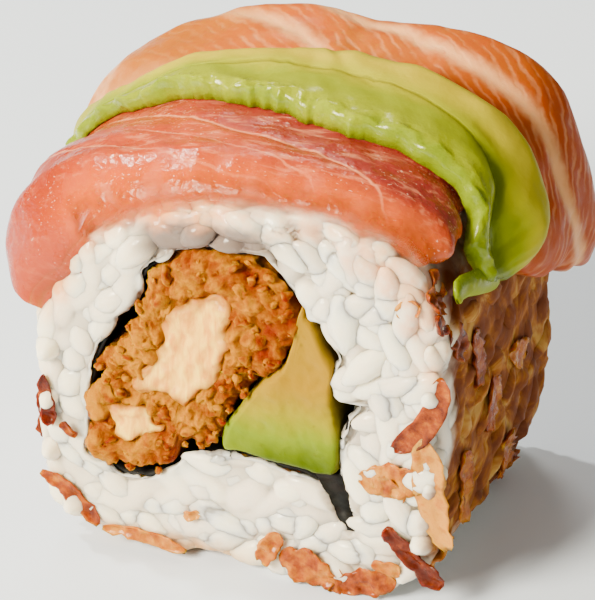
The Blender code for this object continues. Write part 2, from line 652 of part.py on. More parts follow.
def make_coating(material):
    """The cutlet's crumb coating: a sleeve round the meat, with crumbs over both cut ends."""
    outline = smooth_outline(COATING_PATH)
    cores = [smooth_outline(CORE_LARGE_PATH), smooth_outline(CORE_SMALL_PATH)]
    coating = prism_object("crumb_coating", outline, COATING_HALF_DEPTH, material)
    bores = [prism_object(f"bore_{i}", offset_outline(path, GAP), CORE_HALF_DEPTH * 1.1)
             for i, path in enumerate(cores)]
    limit = offset_outline(nori_middle(), -NORI_THICKNESS / 2)
    wedge = smooth_outline(WEDGE_PATH)
    group = bpy.data.collections.new("crumbs")
    bpy.context.scene.collection.children.link(group)
    crumbs = []

    def free_radius(point):
        gaps = [-clearance(point, limit), clearance(point, wedge)]
        return min(gaps + [clearance(point, core) for core in cores]) - GAP

    for facing in (-1, 1):
        draw = random.Random(41 + facing)

        def allowed(point):
            return free_radius(point) > SMALLEST_CRUMB and clearance(point, outline) < SLACK

        spots = spread(draw, CRUMB_FIELD, CRUMB_SPACING, allowed, CRUMB_THROWS)
        for number, spot in enumerate(spots):
            radius = min(free_radius(spot), CRUMB_RADIUS * draw.uniform(0.75, 1.1)) * 0.97
            shape = bmesh.new()
            bmesh.ops.create_icosphere(shape, subdivisions=1, radius=radius)
            spin = Matrix.Rotation(draw.uniform(0, 6.28), 4, Vector((draw.random(), draw.random(), 1)))
            bmesh.ops.transform(shape, matrix=spin, verts=shape.verts[:])
            rise = draw.uniform(-0.1, 0.45) * radius
            place = Vector((spot.x, facing * (COATING_HALF_DEPTH + rise), spot.y))
            bmesh.ops.translate(shape, verts=shape.verts[:], vec=place)
            crumbs.append(new_object(f"crumb_{facing}_{number}", shape, None, group))
    cut_or_join(coating, "DIFFERENCE", bores)
    cut_or_join(coating, "UNION", crumbs)
    keep_one_body(coating)
    bpy.data.collections.remove(group)
    return coating


def drape(distance, depth):
    """Height of an outer slice's underside above the log, which hangs down over the rims."""
    droop = DROOP_LEFT + (DROOP_RIGHT - DROOP_LEFT) * smooth_step(distance, -8 * MM, 3 * MM)
    if depth > 0:
        droop = DROOP_RIGHT
    past = max(abs(depth) - DROOP_START, 0.0) / DROOP_RUN
    return GAP + SLACK / 2 - droop * past * past


def bulge(v, start, end, sharpness):
    """Thickness across a slice, 1 in the middle, falling to start and end at its two edges."""
    across = 2 * v - 1
    edge = start if across < 0 else end
    return edge + (1 - edge) * (1 - abs(across) ** sharpness)


def leftness(distance):
    return smooth_step(-distance, 8 * MM, 20 * MM)


def seam(distance):
    """The line under the avocado where tuna and salmon meet."""
    front = between(AVOCADO_FRONT, distance / MM)
    rear = between(AVOCADO_REAR, distance / MM)
    return (front + rear) / 2 * MM


def tuna_span(distance):
    return between(TUNA_FRONT, distance / MM) * MM, seam(distance) - SLACK * 2


def salmon_span(distance):
    return seam(distance) + SLACK * 2, SALMON_REAR


def tuna_lift(distance, depth, side):
    """Height of the tuna's upper (side 1) or lower (side 0) face above the log."""
    front, rear = tuna_span(distance)
    v = min(max((depth - front) / (rear - front), 0.0), 1.0)
    flare = TUNA_FLARE * smooth_step(-distance, 22 * MM, 29 * MM) * (1 - smooth_step(v, 0.5, 0.9))
    seam_thickness = SEAM_THICKNESS - LEFT_THINNING * leftness(distance)
    thickness = TUNA_THICKNESS + TUNA_BULGE * hump(distance, BULGE_PLACE, BULGE_WIDTH)
    thickness += (seam_thickness - thickness) * smooth_step(v, 0.45, 0.8)
    return drape(distance, depth) + flare + side * thickness * bulge(v, 0.3, 1.0, 6)


def salmon_lift(distance, depth, side):
    front, rear = salmon_span(distance)
    v = min(max((depth - front) / (rear - front), 0.0), 1.0)
    flare = SALMON_FLARE * smooth_step(distance, 22 * MM, 32 * MM)
    seam_thickness = SEAM_THICKNESS - LEFT_THINNING * leftness(distance)
    thickness = seam_thickness + (SALMON_THICKNESS - seam_thickness) * smooth_step(v, 0.0, 0.6)
    ridge = SALMON_RIDGE * hump(distance, RIDGE_PLACE, RIDGE_WIDTH)
    crown = SALMON_CROWN * hump(distance, CROWN_PLACE, CROWN_WIDTH)
    thickness += (ridge + crown) * smooth_step(v, 0.45, 1.0)
    return drape(distance, depth) + flare + side * thickness * bulge(v, 1.0, 0.93, 10)


def avocado_rest(distance, depth):
    """The avocado's underside: it rests on the log, on the tuna and on the salmon."""
    highest = 0.0
    for across in (distance - REST_REACH, distance, distance + REST_REACH):
        for along in (depth - REST_REACH, depth, depth + REST_REACH):
            if along < seam(across) and across < between(TUNA_RIGHT, along / MM) * MM:
                highest = max(highest, tuna_lift(across, along, 1))
            if along > seam(across) - GAP and across < between(SALMON_RIGHT, along / MM) * MM:
                highest = max(highest, salmon_lift(across, along, 1))
    return highest + GAP + SLACK


def slice_object(name, rows, columns, place, material):
    """A draped slice: a grid of points for its upper and lower faces, closed round the edge.

    place(u, v, side) gives the point at u along the slice and v across it, side 1 on top.
    """
    shape = bmesh.new()
    grids = []
    for side in (1, 0):
        grids.append([[shape.verts.new(place(i / rows, crowd(j / columns), side))
                       for j in range(columns + 1)] for i in range(rows + 1)])
    upper, lower = grids
    for i in range(rows):
        for j in range(columns):
            shape.faces.new((upper[i][j], upper[i + 1][j], upper[i + 1][j + 1], upper[i][j + 1]))
            shape.faces.new((lower[i][j], lower[i][j + 1], lower[i + 1][j + 1], lower[i + 1][j]))
    border = [(i, 0) for i in range(rows)] + [(rows, j) for j in range(columns)]
    border += [(i, columns) for i in range(rows, 0, -1)] + [(0, j) for j in range(columns, 0, -1)]
    for (i, j), (k, m) in zip(border, border[1:] + border[:1]):
        shape.faces.new((upper[i][j], lower[i][j], lower[k][m], upper[k][m]))
    bmesh.ops.recalc_face_normals(shape, faces=shape.faces[:])
    bmesh.ops.triangulate(shape, faces=shape.faces[:])
    return new_object(name, shape, material)


def crowd(v):
    """Move grid lines towards both edges, where a slice is rounded."""
    return v - EDGE_CROWDING * math.sin(4 * math.pi * v)


def make_tuna(material):
    """The slice of tuna over the front half of the log."""
    def place(u, v, side):
        front, rear = tuna_span(0.0)
        rough = (front + (rear - front) * v) / MM
        left, right = between(TUNA_LEFT, rough), between(TUNA_RIGHT, rough)
        distance = (left + (right - left) * u) * MM
        front, rear = tuna_span(distance)
        depth = front + (rear - front) * v
        low, high = tuna_lift(distance, depth, 0), tuna_lift(distance, depth, 1)
        return LOG.point(distance, depth, low + side * (high - low) * bulge(u, 0.8, 0.5, 12))

    return slice_object("tuna_slice", 18, 9, place, material)


def make_salmon(material):
    """The slice of salmon over the rear half of the log."""
    def place(u, v, side):
        front, rear = salmon_span(0.0)
        rough = (front + (rear - front) * v) / MM
        left, right = between(SALMON_LEFT, rough), between(SALMON_RIGHT, rough)
        distance = (left + (right - left) * u) * MM
        front, rear = salmon_span(distance)
        depth = front + (rear - front) * v
        low, high = salmon_lift(distance, depth, 0), salmon_lift(distance, depth, 1)
        return LOG.point(distance, depth, low + side * (high - low) * bulge(u, 0.5, 0.5, 12))

    return slice_object("salmon_slice", 20, 7, place, material)


def make_avocado(material):
    """The slice of avocado over the seam between tuna and salmon, with a thin tongue at its end."""
    def place(u, v, side):
        distance = (AVOCADO_LEFT_END + (AVOCADO_RIGHT_END - AVOCADO_LEFT_END) * u) * MM
        front = between(AVOCADO_FRONT, distance / MM) * MM
        rear = between(AVOCADO_REAR, distance / MM) * MM
        depth = front + (rear - front) * v
        left_end = 1 - 0.5 * leftness(distance)
        thick = AVOCADO_THICKNESS * left_end * bulge(v, 0.4, 0.2, 4) * bulge(u, 0.5, 0.5, 16)
        return LOG.point(distance, depth, avocado_rest(distance, depth) + side * thick)

    slice_body = slice_object("avocado_slice", 18, 7, place, material)
    rows = []
    shape = bmesh.new()
    for distance, depth, half, high in TONGUE:
        corners = ((-half * MM, TONGUE_UNDERSIDE), (half * MM, TONGUE_UNDERSIDE),
                   (half * 0.8 * MM, high * MM), (-half * 0.8 * MM, high * MM))
        rows.append([shape.verts.new(LOG.point(distance * MM + across, depth * MM, lift))
                     for across, lift in corners])
    for first, second in zip(rows, rows[1:]):
        for i in range(4):
            j = (i + 1) % 4
            shape.faces.new((first[i], first[j], second[j], second[i]))
    shape.faces.new(rows[0][::-1])
    shape.faces.new(rows[-1])
    bmesh.ops.recalc_face_normals(shape, faces=shape.faces[:])
    bmesh.ops.triangulate(shape, faces=shape.faces[:])
    cut_or_join(slice_body, "UNION", [new_object("tongue", shape, None)])
    keep_one_body(slice_body)
    return slice_body


def main():
    clear_scene()
    rice = finish_material("rice", 0.87, 0.86, 0.82, 0.35)
    nori = finish_material("nori", 0.07, 0.08, 0.07, 0.6)
    crumb = finish_material("crumb", 0.91, 0.57, 0.16, 0.55)
    meat = finish_material("meat", 0.95, 0.80, 0.66, 0.45)
    avocado = finish_material("avocado", 0.68, 0.75, 0.33, 0.35)
    tuna = finish_material("tuna", 0.80, 0.43, 0.38, 0.3)
    salmon = finish_material("salmon", 0.90, 0.47, 0.25, 0.3)
    make_rice(rice)
    make_nori(nori)
    make_coating(crumb)
    prism_object("cutlet_core_large", smooth_outline(CORE_LARGE_PATH), CORE_HALF_DEPTH, meat, END_ROUNDING)
    prism_object("cutlet_core_small", smooth_outline(CORE_SMALL_PATH), CORE_HALF_DEPTH, meat, END_ROUNDING)
    prism_object("avocado_filling", smooth_outline(WEDGE_PATH), WEDGE_HALF_DEPTH, avocado, WEDGE_ROUNDING)
    make_tuna(tuna)
    make_avocado(avocado)
    make_salmon(salmon)


main()
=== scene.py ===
"""The looks of one piece of rainbow roll, laid out as an add-on and run as a script.

Every piece is shaped in millimetres and scaled to metres once, when it is finished. The roll's axis is Y, its cut face
looks towards -Y, and places on its sides are given as a distance round the log from the top centre, + to the right,
and a depth along Y.
"""

import math
import random

import bmesh
import bpy
from mathutils import Matrix, Vector, noise


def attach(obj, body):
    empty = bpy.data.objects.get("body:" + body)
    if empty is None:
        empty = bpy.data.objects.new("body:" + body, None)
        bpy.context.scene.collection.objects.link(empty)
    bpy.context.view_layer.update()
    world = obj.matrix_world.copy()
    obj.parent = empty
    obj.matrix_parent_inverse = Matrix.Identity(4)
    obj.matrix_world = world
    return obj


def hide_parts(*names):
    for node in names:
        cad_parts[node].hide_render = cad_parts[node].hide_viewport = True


bl_info = {
    "name": "Rainbow roll",
    "version": (1, 0, 0),
    "blender": (4, 5, 0),
    "location": "View3D > Sidebar > Roll",
    "description": "Builds one piece of rainbow roll, draped with tuna, avocado and salmon",
    "category": "Object",
}

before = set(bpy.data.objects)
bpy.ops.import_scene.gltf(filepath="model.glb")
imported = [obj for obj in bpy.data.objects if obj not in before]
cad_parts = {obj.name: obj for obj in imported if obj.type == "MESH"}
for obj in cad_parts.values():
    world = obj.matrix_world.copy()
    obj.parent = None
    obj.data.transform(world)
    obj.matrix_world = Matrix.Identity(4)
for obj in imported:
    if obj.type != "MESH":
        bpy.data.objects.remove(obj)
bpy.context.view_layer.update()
MM = 0.001

# The log of rice, in millimetres, as in the solids
HALF_DEPTH = 16.0
CENTRE = Vector((0.5, 20.0))
REACH_RIGHT = 21.3
REACH_LEFT = 22.2
REACH_UP = 21.5
REACH_DOWN = 20.25
SQUARE_UP_RIGHT = 3.6
SQUARE_UP_LEFT = 2.1
SQUARE_DOWN = 5.0
REAR_SWELL = 1.2
SHOULDER_SWELL = 2.2
SHOULDER_PLACE = -22.0
SHOULDER_WIDTH = 9.0
SHOULDER_START = -10.0
HOLE_CENTRE = Vector((-2.5, 21.5))
HOLE_ROOM = 0.55
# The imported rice's grid: steps round it and along its front face, side, rear face and hole
RICE_AROUND = 420
FRONT_STEPS, SIDE_STEPS, REAR_STEPS, HOLE_STEPS = 46, 92, 26, 7
FACE_SUNK = 0.5
RIM_SUNK = 0.75
RIM_ROUNDING = 2.0

# Outlines on the cut face, as (x, z): the seaweed's band, its tail, the rice's edge round the hole, and the filling
NORI_PATH = (
    (-9.3, 31.9), (-4.6, 35.0), (1.2, 35.5), (4.8, 33.7), (7.9, 29.2), (9.9, 24.6),
    (10.4, 18.6), (10.2, 13.3), (6.2, 12.6), (0.6, 13.4), (-4.4, 11.2), (-9.4, 8.9),
    (-14.4, 9.4), (-16.1, 13.8), (-14.7, 20.6), (-12.2, 26.8),
)
TAIL_PATH = ((9.4, 13.0), (10.3, 10.3), (10.9, 8.5), (11.8, 6.8))
TAIL_WIDTH = ((0, 1.1), (0.35, 0.85), (0.7, 0.55), (1, 0.15))
SLIT_DEPTH = 1.7
# The seaweed: half its thickness, how deep its band and tail run to each side, and where the band flares
SHEET_HALF = 0.15
BAND_HALF = 14.8
TAIL_HALF = 14.9
FLARE_RUN = (9, 13.5)
LIP_PATH = (
    (-3.1, 36.0), (-4.7, 35.4), (-6.3, 34.9), (-7.4, 33.6), (-8.8, 32.8), (-9.4, 32.2), (-9.6, 30.5),
    (-10.3, 28.7), (-11.6, 27.1), (-12.7, 25.5), (-13.8, 23.6), (-14.6, 21.8), (-15.1, 20.2), (-15.3, 18.4),
    (-15.6, 16.7), (-15.8, 14.5), (-15.7, 13.0), (-15.8, 12.1), (-15.9, 10.2), (-14.6, 9.5), (-13.5, 9.3),
    (-12.7, 8.5), (-11.7, 8.2), (-9.0, 8.9), (-6.4, 10.7), (-5.4, 11.8), (-3.9, 12.5), (-1.9, 13.0),
    (0.0, 13.2), (2.1, 12.9), (3.7, 12.7), (6.3, 12.4), (8.5, 11.8), (9.4, 11.3), (10.3, 11.7), (10.7, 13.0),
    (10.6, 15.3), (10.7, 17.1), (11.3, 18.1), (11.6, 19.6), (12.6, 21.0), (12.5, 21.5), (11.6, 21.4),
    (10.3, 21.6), (9.7, 23.3), (10.1, 25.0), (10.6, 26.0), (10.0, 27.3), (9.2, 28.3), (8.7, 29.9), (7.5, 30.0),
    (6.9, 31.2), (6.2, 32.2), (5.3, 33.4), (4.5, 34.4), (3.6, 35.4), (2.5, 36.4), (0.2, 36.0), (-1.7, 36.0),
)
COATING_PATH = (
    (-3.1, 35.7), (-1.7, 35.6), (-0.0, 35.7), (1.5, 35.5), (2.8, 34.8), (3.5, 34.8), (4.7, 33.8), (5.6, 32.3),
    (6.4, 30.8), (6.5, 29.6), (6.2, 28.3), (6.0, 26.6), (5.0, 25.2), (4.1, 23.3), (1.8, 22.7), (1.6, 21.4),
    (-0.1, 19.3), (-1.3, 16.9), (-1.9, 15.1), (-3.3, 13.2), (-4.6, 13.9), (-6.0, 13.2), (-6.2, 11.4),
    (-7.0, 10.3), (-8.9, 9.7), (-11.5, 9.3), (-12.5, 9.8), (-13.5, 9.7), (-15.6, 10.1), (-15.3, 12.3),
    (-15.7, 14.5), (-15.8, 16.2), (-14.9, 17.5), (-14.1, 19.3), (-14.9, 20.2), (-14.6, 21.1), (-12.2, 23.5),
    (-10.8, 24.2), (-10.8, 25.9), (-9.8, 26.9), (-9.6, 28.4), (-9.1, 29.2), (-9.2, 30.2), (-8.8, 31.9),
    (-7.4, 33.2), (-6.1, 34.7), (-4.7, 35.3),
)
CORE_LARGE_PATH = (
    (-5.8, 29.4), (-1.8, 31.4), (-0.2, 30.7), (-0.5, 29.0), (-0.5, 26.8), (-0.9, 24.0), (-1.8, 21.3),
    (-3.8, 19.6), (-5.3, 17.4), (-6.3, 18.2), (-8.4, 18.6), (-10.7, 18.8), (-9.9, 20.6), (-8.3, 23.1),
    (-7.7, 25.5), (-7.5, 27.4),
)
CORE_SMALL_PATH = (
    (-13.1, 16.1), (-11.6, 16.8), (-8.8, 17.0), (-8.5, 15.6), (-7.3, 15.0), (-8.9, 13.8), (-11.6, 12.6),
    (-12.6, 13.7),
)
WEDGE_PATH = (
    (6.6, 31.6), (6.9, 30.6), (7.7, 29.7), (8.9, 27.1), (9.9, 25.2), (9.7, 22.6), (10.0, 20.1), (10.4, 17.9),
    (10.5, 15.9), (10.3, 13.5), (9.2, 12.8), (6.3, 13.2), (3.7, 13.4), (1.8, 13.6), (-0.2, 13.7), (-1.5, 13.9),
    (-1.1, 16.1), (0.8, 19.6), (2.7, 22.1), (4.2, 23.6), (5.0, 24.8), (5.8, 27.4), (6.2, 30.0),
)

# The filling: how deep it runs to each side, and the middles that its grids are wrapped round
FILLING_HALF = 15.7
COATING_CENTRE = Vector((-5.6, 22.0))
CORES = (
    ("meat_large", "cutlet_core_large", CORE_LARGE_PATH, Vector((-4.4, 24.4)), 1.2),
    ("meat_small", "cutlet_core_small", CORE_SMALL_PATH, Vector((-10.4, 15.0)), 0.8),
)
WEDGE_CENTRE = Vector((6.7, 18.6))

# The slices' edges, as (distance, depth) or (depth, distance)
TUNA_FRONT = ((-30, -16.4), (-12, -16.4), (-3, -16.2), (3, -15.9), (10, -15.9), (19, -15.8))
SALMON_REAR = 16.3
AVOCADO_FRONT = ((-30, 2.6), (-22, 1.4), (-18, 1.6), (-14.4, -0.2), (-10, -1.4), (-3, -3.2), (2.6, -4.4), (8, -5.6),
                 (14, -5.9), (16.8, -5.9), (17.8, -6.6), (18.8, -7.0), (19.6, -8.2), (20.6, -8.8), (21.6, -8.6),
                 (22.7, -7.9), (23.6, -7.9), (24.4, -7.5), (25.1, -6.4), (25.7, -5.0))
AVOCADO_REAR = ((-30, 10.2), (-22, 8.2), (-16, 4.2), (-12, 4.0), (-9.5, 4.8), (-5, 4.5), (0, 5.7), (4, 6.5),
                (9.7, 6.4), (12.5, 5.9), (16.7, 5.5), (19.1, 4.5), (21.1, 3.7), (22.3, 2.9), (23.2, 1.8), (24.0, 0.6),
                (24.8, -0.7), (25.3, -1.7), (25.7, -2.8))
TUNA_LEFT = ((-16.3, -29.0), (-10, -28.8), (-4, -28.2), (4, -27.6))
TUNA_RIGHT = ((-16.3, 17.9), (-14, 19.2), (-10, 19.8), (-8, 19.2), (-5, 18.4), (4, 18.0))
SALMON_LEFT = ((-4, -27.6), (6, -28.6), (16.3, -29.4))
SALMON_RIGHT = ((-3, 24.0), (1.5, 25.7), (5.5, 28.4), (8.6, 30.2), (11.6, 31.8), (16.3, 34.4))
# Ends of the fish, each with its waviness: height, place, size and seed
TUNA_ENDS = ((TUNA_LEFT, 0.4, 0, 2.5, 0.0), (TUNA_RIGHT, 0.3, 5, 2.0, 0.0))
SALMON_ENDS = ((SALMON_LEFT, 0.4, 0, 2.5, 3.0), (SALMON_RIGHT, 0.55, 7, 1.9, 5.0))
AVOCADO_ENDS = (-28.6, 25.7)
TONGUE_PATH = ((25.0, -4.4), (24.7, -6.0), (24.2, -7.6), (23.7, -9.2), (23.1, -10.8), (22.9, -12.1), (23.4, -13.0))
GRID_CROWDING = 0.055
SLICE_REST = 0.35
DROOP_START = 13.2
DROOP_RUN = 3.1
DROOP_LEFT = 2.4
DROOP_RIGHT = 1.1
DROOP_REAR = 0.5

# Lines in the fish and the avocado, as (distance, depth) or, in the avocado, (distance, share across)
TUNA_VEINS = (
    ((-25, 1.6), (-19, 0.4), (-14.5, -2.0), (-11.2, -3.6), (-7.4, -5.2), (-2.6, -7.4), (2.5, -8.3),
     (6.8, -9.6), (10.5, -11.0), (12.3, -12.4), (15.1, -14.8), (17, -17)),
    ((-24, -5.0), (-18, -7.6), (-12.2, -10.0), (-6.8, -12.2), (-1.6, -13.4), (2.3, -13.6), (5.0, -16.0), (9, -19)),
    ((-20, -3.4), (-13, -6.4), (-7, -8.6), (0, -10.8), (6, -12.4), (9, -16)),
)
SALMON_STRIPES = (
    ((-30, 21.0), (-15.4, 17.0), (-10.2, 14.7), (-5.9, 12.1), (-2.7, 10.2), (0.0, 7.7), (4, 3.0), (30, -16)),
    ((-10, 19.0), (-5, 16.8), (1.2, 14.4), (6.2, 13.1), (9.0, 11.8), (12.6, 10.6), (17.6, 10.0),
     (21.8, 8.8), (24.3, 8.4), (27, 9.0), (31, 10.6)),
    ((8, 17.6), (13, 16.6), (17, 16.2), (22, 16.6), (30, 15.4)),
    ((-30, 11.6), (-24, 9.8), (-19.5, 7.7), (-15.7, 6.7), (-11, 4.6), (0, -4)),
)
AVOCADO_LINE = ((-28, 0.3), (-8, 0.42), (-3, 0.6), (3, 0.62), (8, 0.61), (12, 0.56), (15.2, 0.48), (16.8, 0.42),
                (18.1, 0.38), (19.2, 0.33), (20.4, 0.26), (21.6, 0.2), (23.0, 0.15), (24.5, 0.1))

# Fried onion flakes. On the cut face: x, z, heading, length, width, bow, tone from pale gold 0 to dark red 1
FACE_FLAKES = (
    (19.9, 21.6, 62, 10.6, 2.6, 62, 0.6), (16.2, 14.1, 8, 6.8, 3.8, 14, 0.2), (18.4, 5.6, -44, 8.2, 2.6, 16, 0.85),
    (7.6, 2.2, -20, 6.2, 3.4, 8, 0.42), (3.6, 3.6, 62, 4.2, 2.2, 10, 0.3), (13.6, 1.7, 16, 6.4, 3.2, 6, 0.5),
    (-17.2, 5.2, -40, 8.0, 1.9, -24, 0.5), (-9.6, 2.0, -6, 9.0, 1.4, -14, 0.2), (-19.8, 15.8, -82, 5.6, 1.6, 12, 0.9),
    (-17.4, 12.9, -50, 2.2, 1.1, 0, 0.6), (17.6, 33.6, 20, 2.4, 1.6, 0, 0.15), (-4.6, 5.6, 12, 1.8, 1.1, 10, 0.1),
    (10.6, 1.0, 84, 3.4, 1.4, 10, 0.4), (15.8, 4.0, -20, 3.0, 1.8, 10, 0.2), (16.0, 13.0, -30, 3.6, 2.2, 20, 0.3),
    (20.2, 13.4, -79, 12.6, 3.0, 22, 0.02),
)
REAR_FLAKES = (
    (-18.6, 9.0, 50, 7.0, 3.2, -30, 0.4), (17.0, 7.0, -40, 7.5, 3.6, 24, 0.7), (-6.0, 3.4, 10, 7.0, 2.8, 16, 0.3),
    (18.6, 22.0, 80, 6.0, 3.0, 30, 0.5), (-18.4, 22.6, 96, 5.5, 2.6, -20, 0.2), (12.0, 3.0, -8, 5.0, 2.6, 12, 0.1),
)
# On the sides: distance, depth, heading, length, width, bow, tone
RIGHT_FLAKES = (
    (33.6, -6.4, 80, 7.6, 2.6, 14, 0.55), (46.5, -9.0, 84, 9.0, 3.2, -14, 0.3), (41.0, -2.0, 110, 6.0, 4.0, 20, 0.45),
    (50.0, 3.6, 60, 7.0, 4.4, -18, 0.35), (28.6, -11.6, 60, 5.0, 2.6, 12, 0.6), (53.6, -12.0, 80, 6.0, 2.4, -8, 0.1),
    (55.0, 9.0, 24, 5.0, 3.6, -14, 0.4), (39.0, 5.0, 20, 5.0, 3.4, 12, 0.25), (22.6, -14.6, 60, 3.4, 2.2, 10, 0.55),
    (24.8, -14.8, 24, 3.0, 2.0, 10, 0.65), (21.4, -12.8, 90, 3.0, 2.0, 4, 0.4),
)
LEFT_FLAKES = (
    (-36.0, -9.0, 80, 8.0, 4.0, 20, 0.5), (-44.5, -4.0, 100, 9.0, 4.2, -18, 0.4), (-38.5, 3.0, 62, 8.5, 4.4, 24, 0.3),
    (-49.0, -11.0, 70, 8.0, 3.6, 12, 0.6), (-46.5, 8.5, 92, 9.0, 4.6, -22, 0.7), (-54.5, 1.5, 84, 8.5, 4.0, 16, 0.45),
    (-38.0, 11.6, 116, 7.5, 3.8, 14, 0.2), (-55.0, -7.5, 60, 6.5, 3.6, 10, 0.35),
    (-53.5, 11.5, 100, 7.0, 3.6, -14, 0.5), (-42.0, -13.0, 84, 6.0, 2.6, 10, 0.85),
    (-50.0, -2.0, 40, 4.5, 2.4, 10, 0.9),
)

# The photograph's view
VIEW_TARGET = Vector((0.73, 0.0, 22.47))
VIEW_TURN = math.radians(20.0)
VIEW_RISE = math.radians(30.5)
VIEW_DISTANCE = 500.0
VIEW_LENS = 302.6
# Area lights: name, place and size in metres, power in watts, colour
LIGHTS = (
    ("key", (-0.32, -0.52, 0.38), 0.30, 21.0, (1.0, 0.89, 0.68)),
    ("spark", (-0.40, 0.06, 0.46), 0.045, 3.0, (1.0, 0.94, 0.82)),
    ("fill", (0.55, -0.45, 0.30), 0.5, 0.4, (1.0, 0.88, 0.70)),
    ("rim", (-0.20, 0.30, 0.52), 0.2, 1.2, (1.0, 0.92, 0.78)),
)
SKY_COLOUR = (1.0, 0.90, 0.74, 1.0)
SKY_STRENGTH = 0.38


def paint(red, green, blue):
    """A colour as it looks on screen, turned into the linear values that a shader takes."""
    return tuple(((c + 0.055) / 1.055) ** 2.4 if c > 0.04045 else c / 12.92 for c in (red, green, blue))


def clamp(value):
    return min(max(value, 0.0), 1.0)


def smooth_step(value, start, end):
    """0 at the start, 1 at the end, smooth between; the start may be the larger of the two."""
    t = clamp((value - start) / (end - start))
    return t * t * (3 - 2 * t)


def between(knots, value):
    """Read a smooth line through knots of (place, height)."""
    if value <= knots[0][0]:
        return knots[0][1]
    for (x0, y0), (x1, y1) in zip(knots, knots[1:]):
        if value <= x1:
            t = (value - x0) / (x1 - x0)
            return y0 + (y1 - y0) * t * t * (3 - 2 * t)
    return knots[-1][1]


def straight_between(knots, value):
    """Read a line through knots with straight runs, so that it has no steps."""
    if value <= knots[0][0]:
        return knots[0][1]
    for (x0, y0), (x1, y1) in zip(knots, knots[1:]):
        if value <= x1:
            return y0 + (y1 - y0) * (value - x0) / (x1 - x0)
    return knots[-1][1]


def hump(value, place, width):
    """1 at a place, falling away to both sides of it."""
    beside = (value - place) / width
    return math.exp(-beside * beside)


def swirl(x, y, z, size, seed=0.0):
    """Smooth noise from about -1 to 1 whose lumps have a size in millimetres."""
    return noise.noise(Vector((x / size + seed, y / size - seed, z / size + 2 * seed))) * 1.6


def lumps(x, y, z, size, seed=0.0):
    """Rounded lumps, 1 on their tops and 0 in the creases between them."""
    distances, _ = noise.voronoi(Vector((x / size + seed, y / size, z / size - seed)))
    return 1 - min(distances[0] / 0.9, 1.0) ** 2


class Log:
    """The log's surface, measured by the distance round it from the top centre, + to the right."""

    STEPS = 1440

    def __init__(self):
        half = self.STEPS // 2
        self.points = [self.outline(math.pi * i / half) for i in range(-half, half + 1)]
        self.distance = [0.0]
        for a, b in zip(self.points, self.points[1:]):
            self.distance.append(self.distance[-1] + (b - a).length)
        top = self.distance[half]
        self.distance = [d - top for d in self.distance]
        self.left_end = self.distance[0]
        self.right_end = self.distance[-1]

    def outline(self, angle):
        """A point of the superellipse, by its angle clockwise from straight up."""
        across, up = math.sin(angle), math.cos(angle)
        reach_x = REACH_RIGHT if across >= 0 else REACH_LEFT
        reach_z = REACH_UP if up >= 0 else REACH_DOWN
        power = SQUARE_DOWN
        if up >= 0:
            power = SQUARE_UP_RIGHT if across >= 0 else SQUARE_UP_LEFT
        radius = (abs(across / reach_x) ** power + abs(up / reach_z) ** power) ** (-1 / power)
        return Vector((CENTRE.x + radius * across, CENTRE.y + radius * up))

    def distance_at(self, x, z):
        """The distance round the log in the direction of a point."""
        half = self.STEPS / 2
        share = min((math.atan2(x - CENTRE.x, z - CENTRE.y) / math.pi + 1) * half, self.STEPS - 0.001)
        low = int(share)
        return self.distance[low] + (self.distance[low + 1] - self.distance[low]) * (share - low)

    def frame(self, distance):
        """The place on the outline at a distance, and the outward direction there."""
        low, high = 0, self.STEPS
        while high - low > 1:
            middle = (low + high) // 2
            if self.distance[middle] <= distance:
                low = middle
            else:
                high = middle
        span = self.distance[high] - self.distance[low]
        place = self.points[low].lerp(self.points[high], (distance - self.distance[low]) / span)
        before = self.points[max(low - 6, 0)]
        after = self.points[min(high + 6, self.STEPS)]
        along = (after - before).normalized()
        return place, Vector((-along.y, along.x))

    def swell(self, distance, depth):
        """How far the log stands out past its plain outline there."""
        swell = REAR_SWELL * smooth_step(depth, -HALF_DEPTH, HALF_DEPTH)
        shoulder = SHOULDER_SWELL * hump(distance, SHOULDER_PLACE, SHOULDER_WIDTH)
        return swell + shoulder * smooth_step(depth, -HALF_DEPTH - 0.3, SHOULDER_START)

    def point(self, distance, depth, lift):
        place, outward = self.frame(distance)
        place = place + outward * (self.swell(distance, depth) + lift)
        return Vector((place.x, depth, place.y))

    def basis(self, distance):
        """Axes on the surface: round the log, along it, and outwards."""
        outward = self.frame(distance)[1]
        normal = Vector((outward.x, 0.0, outward.y))
        along = Vector((0.0, 1.0, 0.0))
        return Matrix((along.cross(normal), along, normal)).transposed()


LOG = Log()


def operation(kind, swapped=False):
    """A method of Value that adds a Math node, with the value as its first or, swapped, its second number."""
    def add_node(value, other=0.0):
        tree = value.socket.id_data
        node = tree.nodes.new("ShaderNodeMath")
        node.operation = kind
        for entry, number in zip(node.inputs, (other, value) if swapped else (value, other)):
            if isinstance(number, Value):
                tree.links.new(number.socket, entry)
            else:
                entry.default_value = number
        return Value(node.outputs[0])

    return add_node


class Value:
    """A number that comes out of a node; arithmetic on it adds Math nodes."""

    def __init__(self, socket):
        self.socket = socket

    __add__, __radd__ = operation("ADD"), operation("ADD", swapped=True)
    __sub__, __rsub__ = operation("SUBTRACT"), operation("SUBTRACT", swapped=True)
    __mul__, __rmul__ = operation("MULTIPLY"), operation("MULTIPLY", swapped=True)
    __truediv__, __rtruediv__ = operation("DIVIDE"), operation("DIVIDE", swapped=True)
    __pow__ = operation("POWER")
    __abs__ = operation("ABSOLUTE")
    fraction = operation("FRACT")
    at_most = operation("MINIMUM")


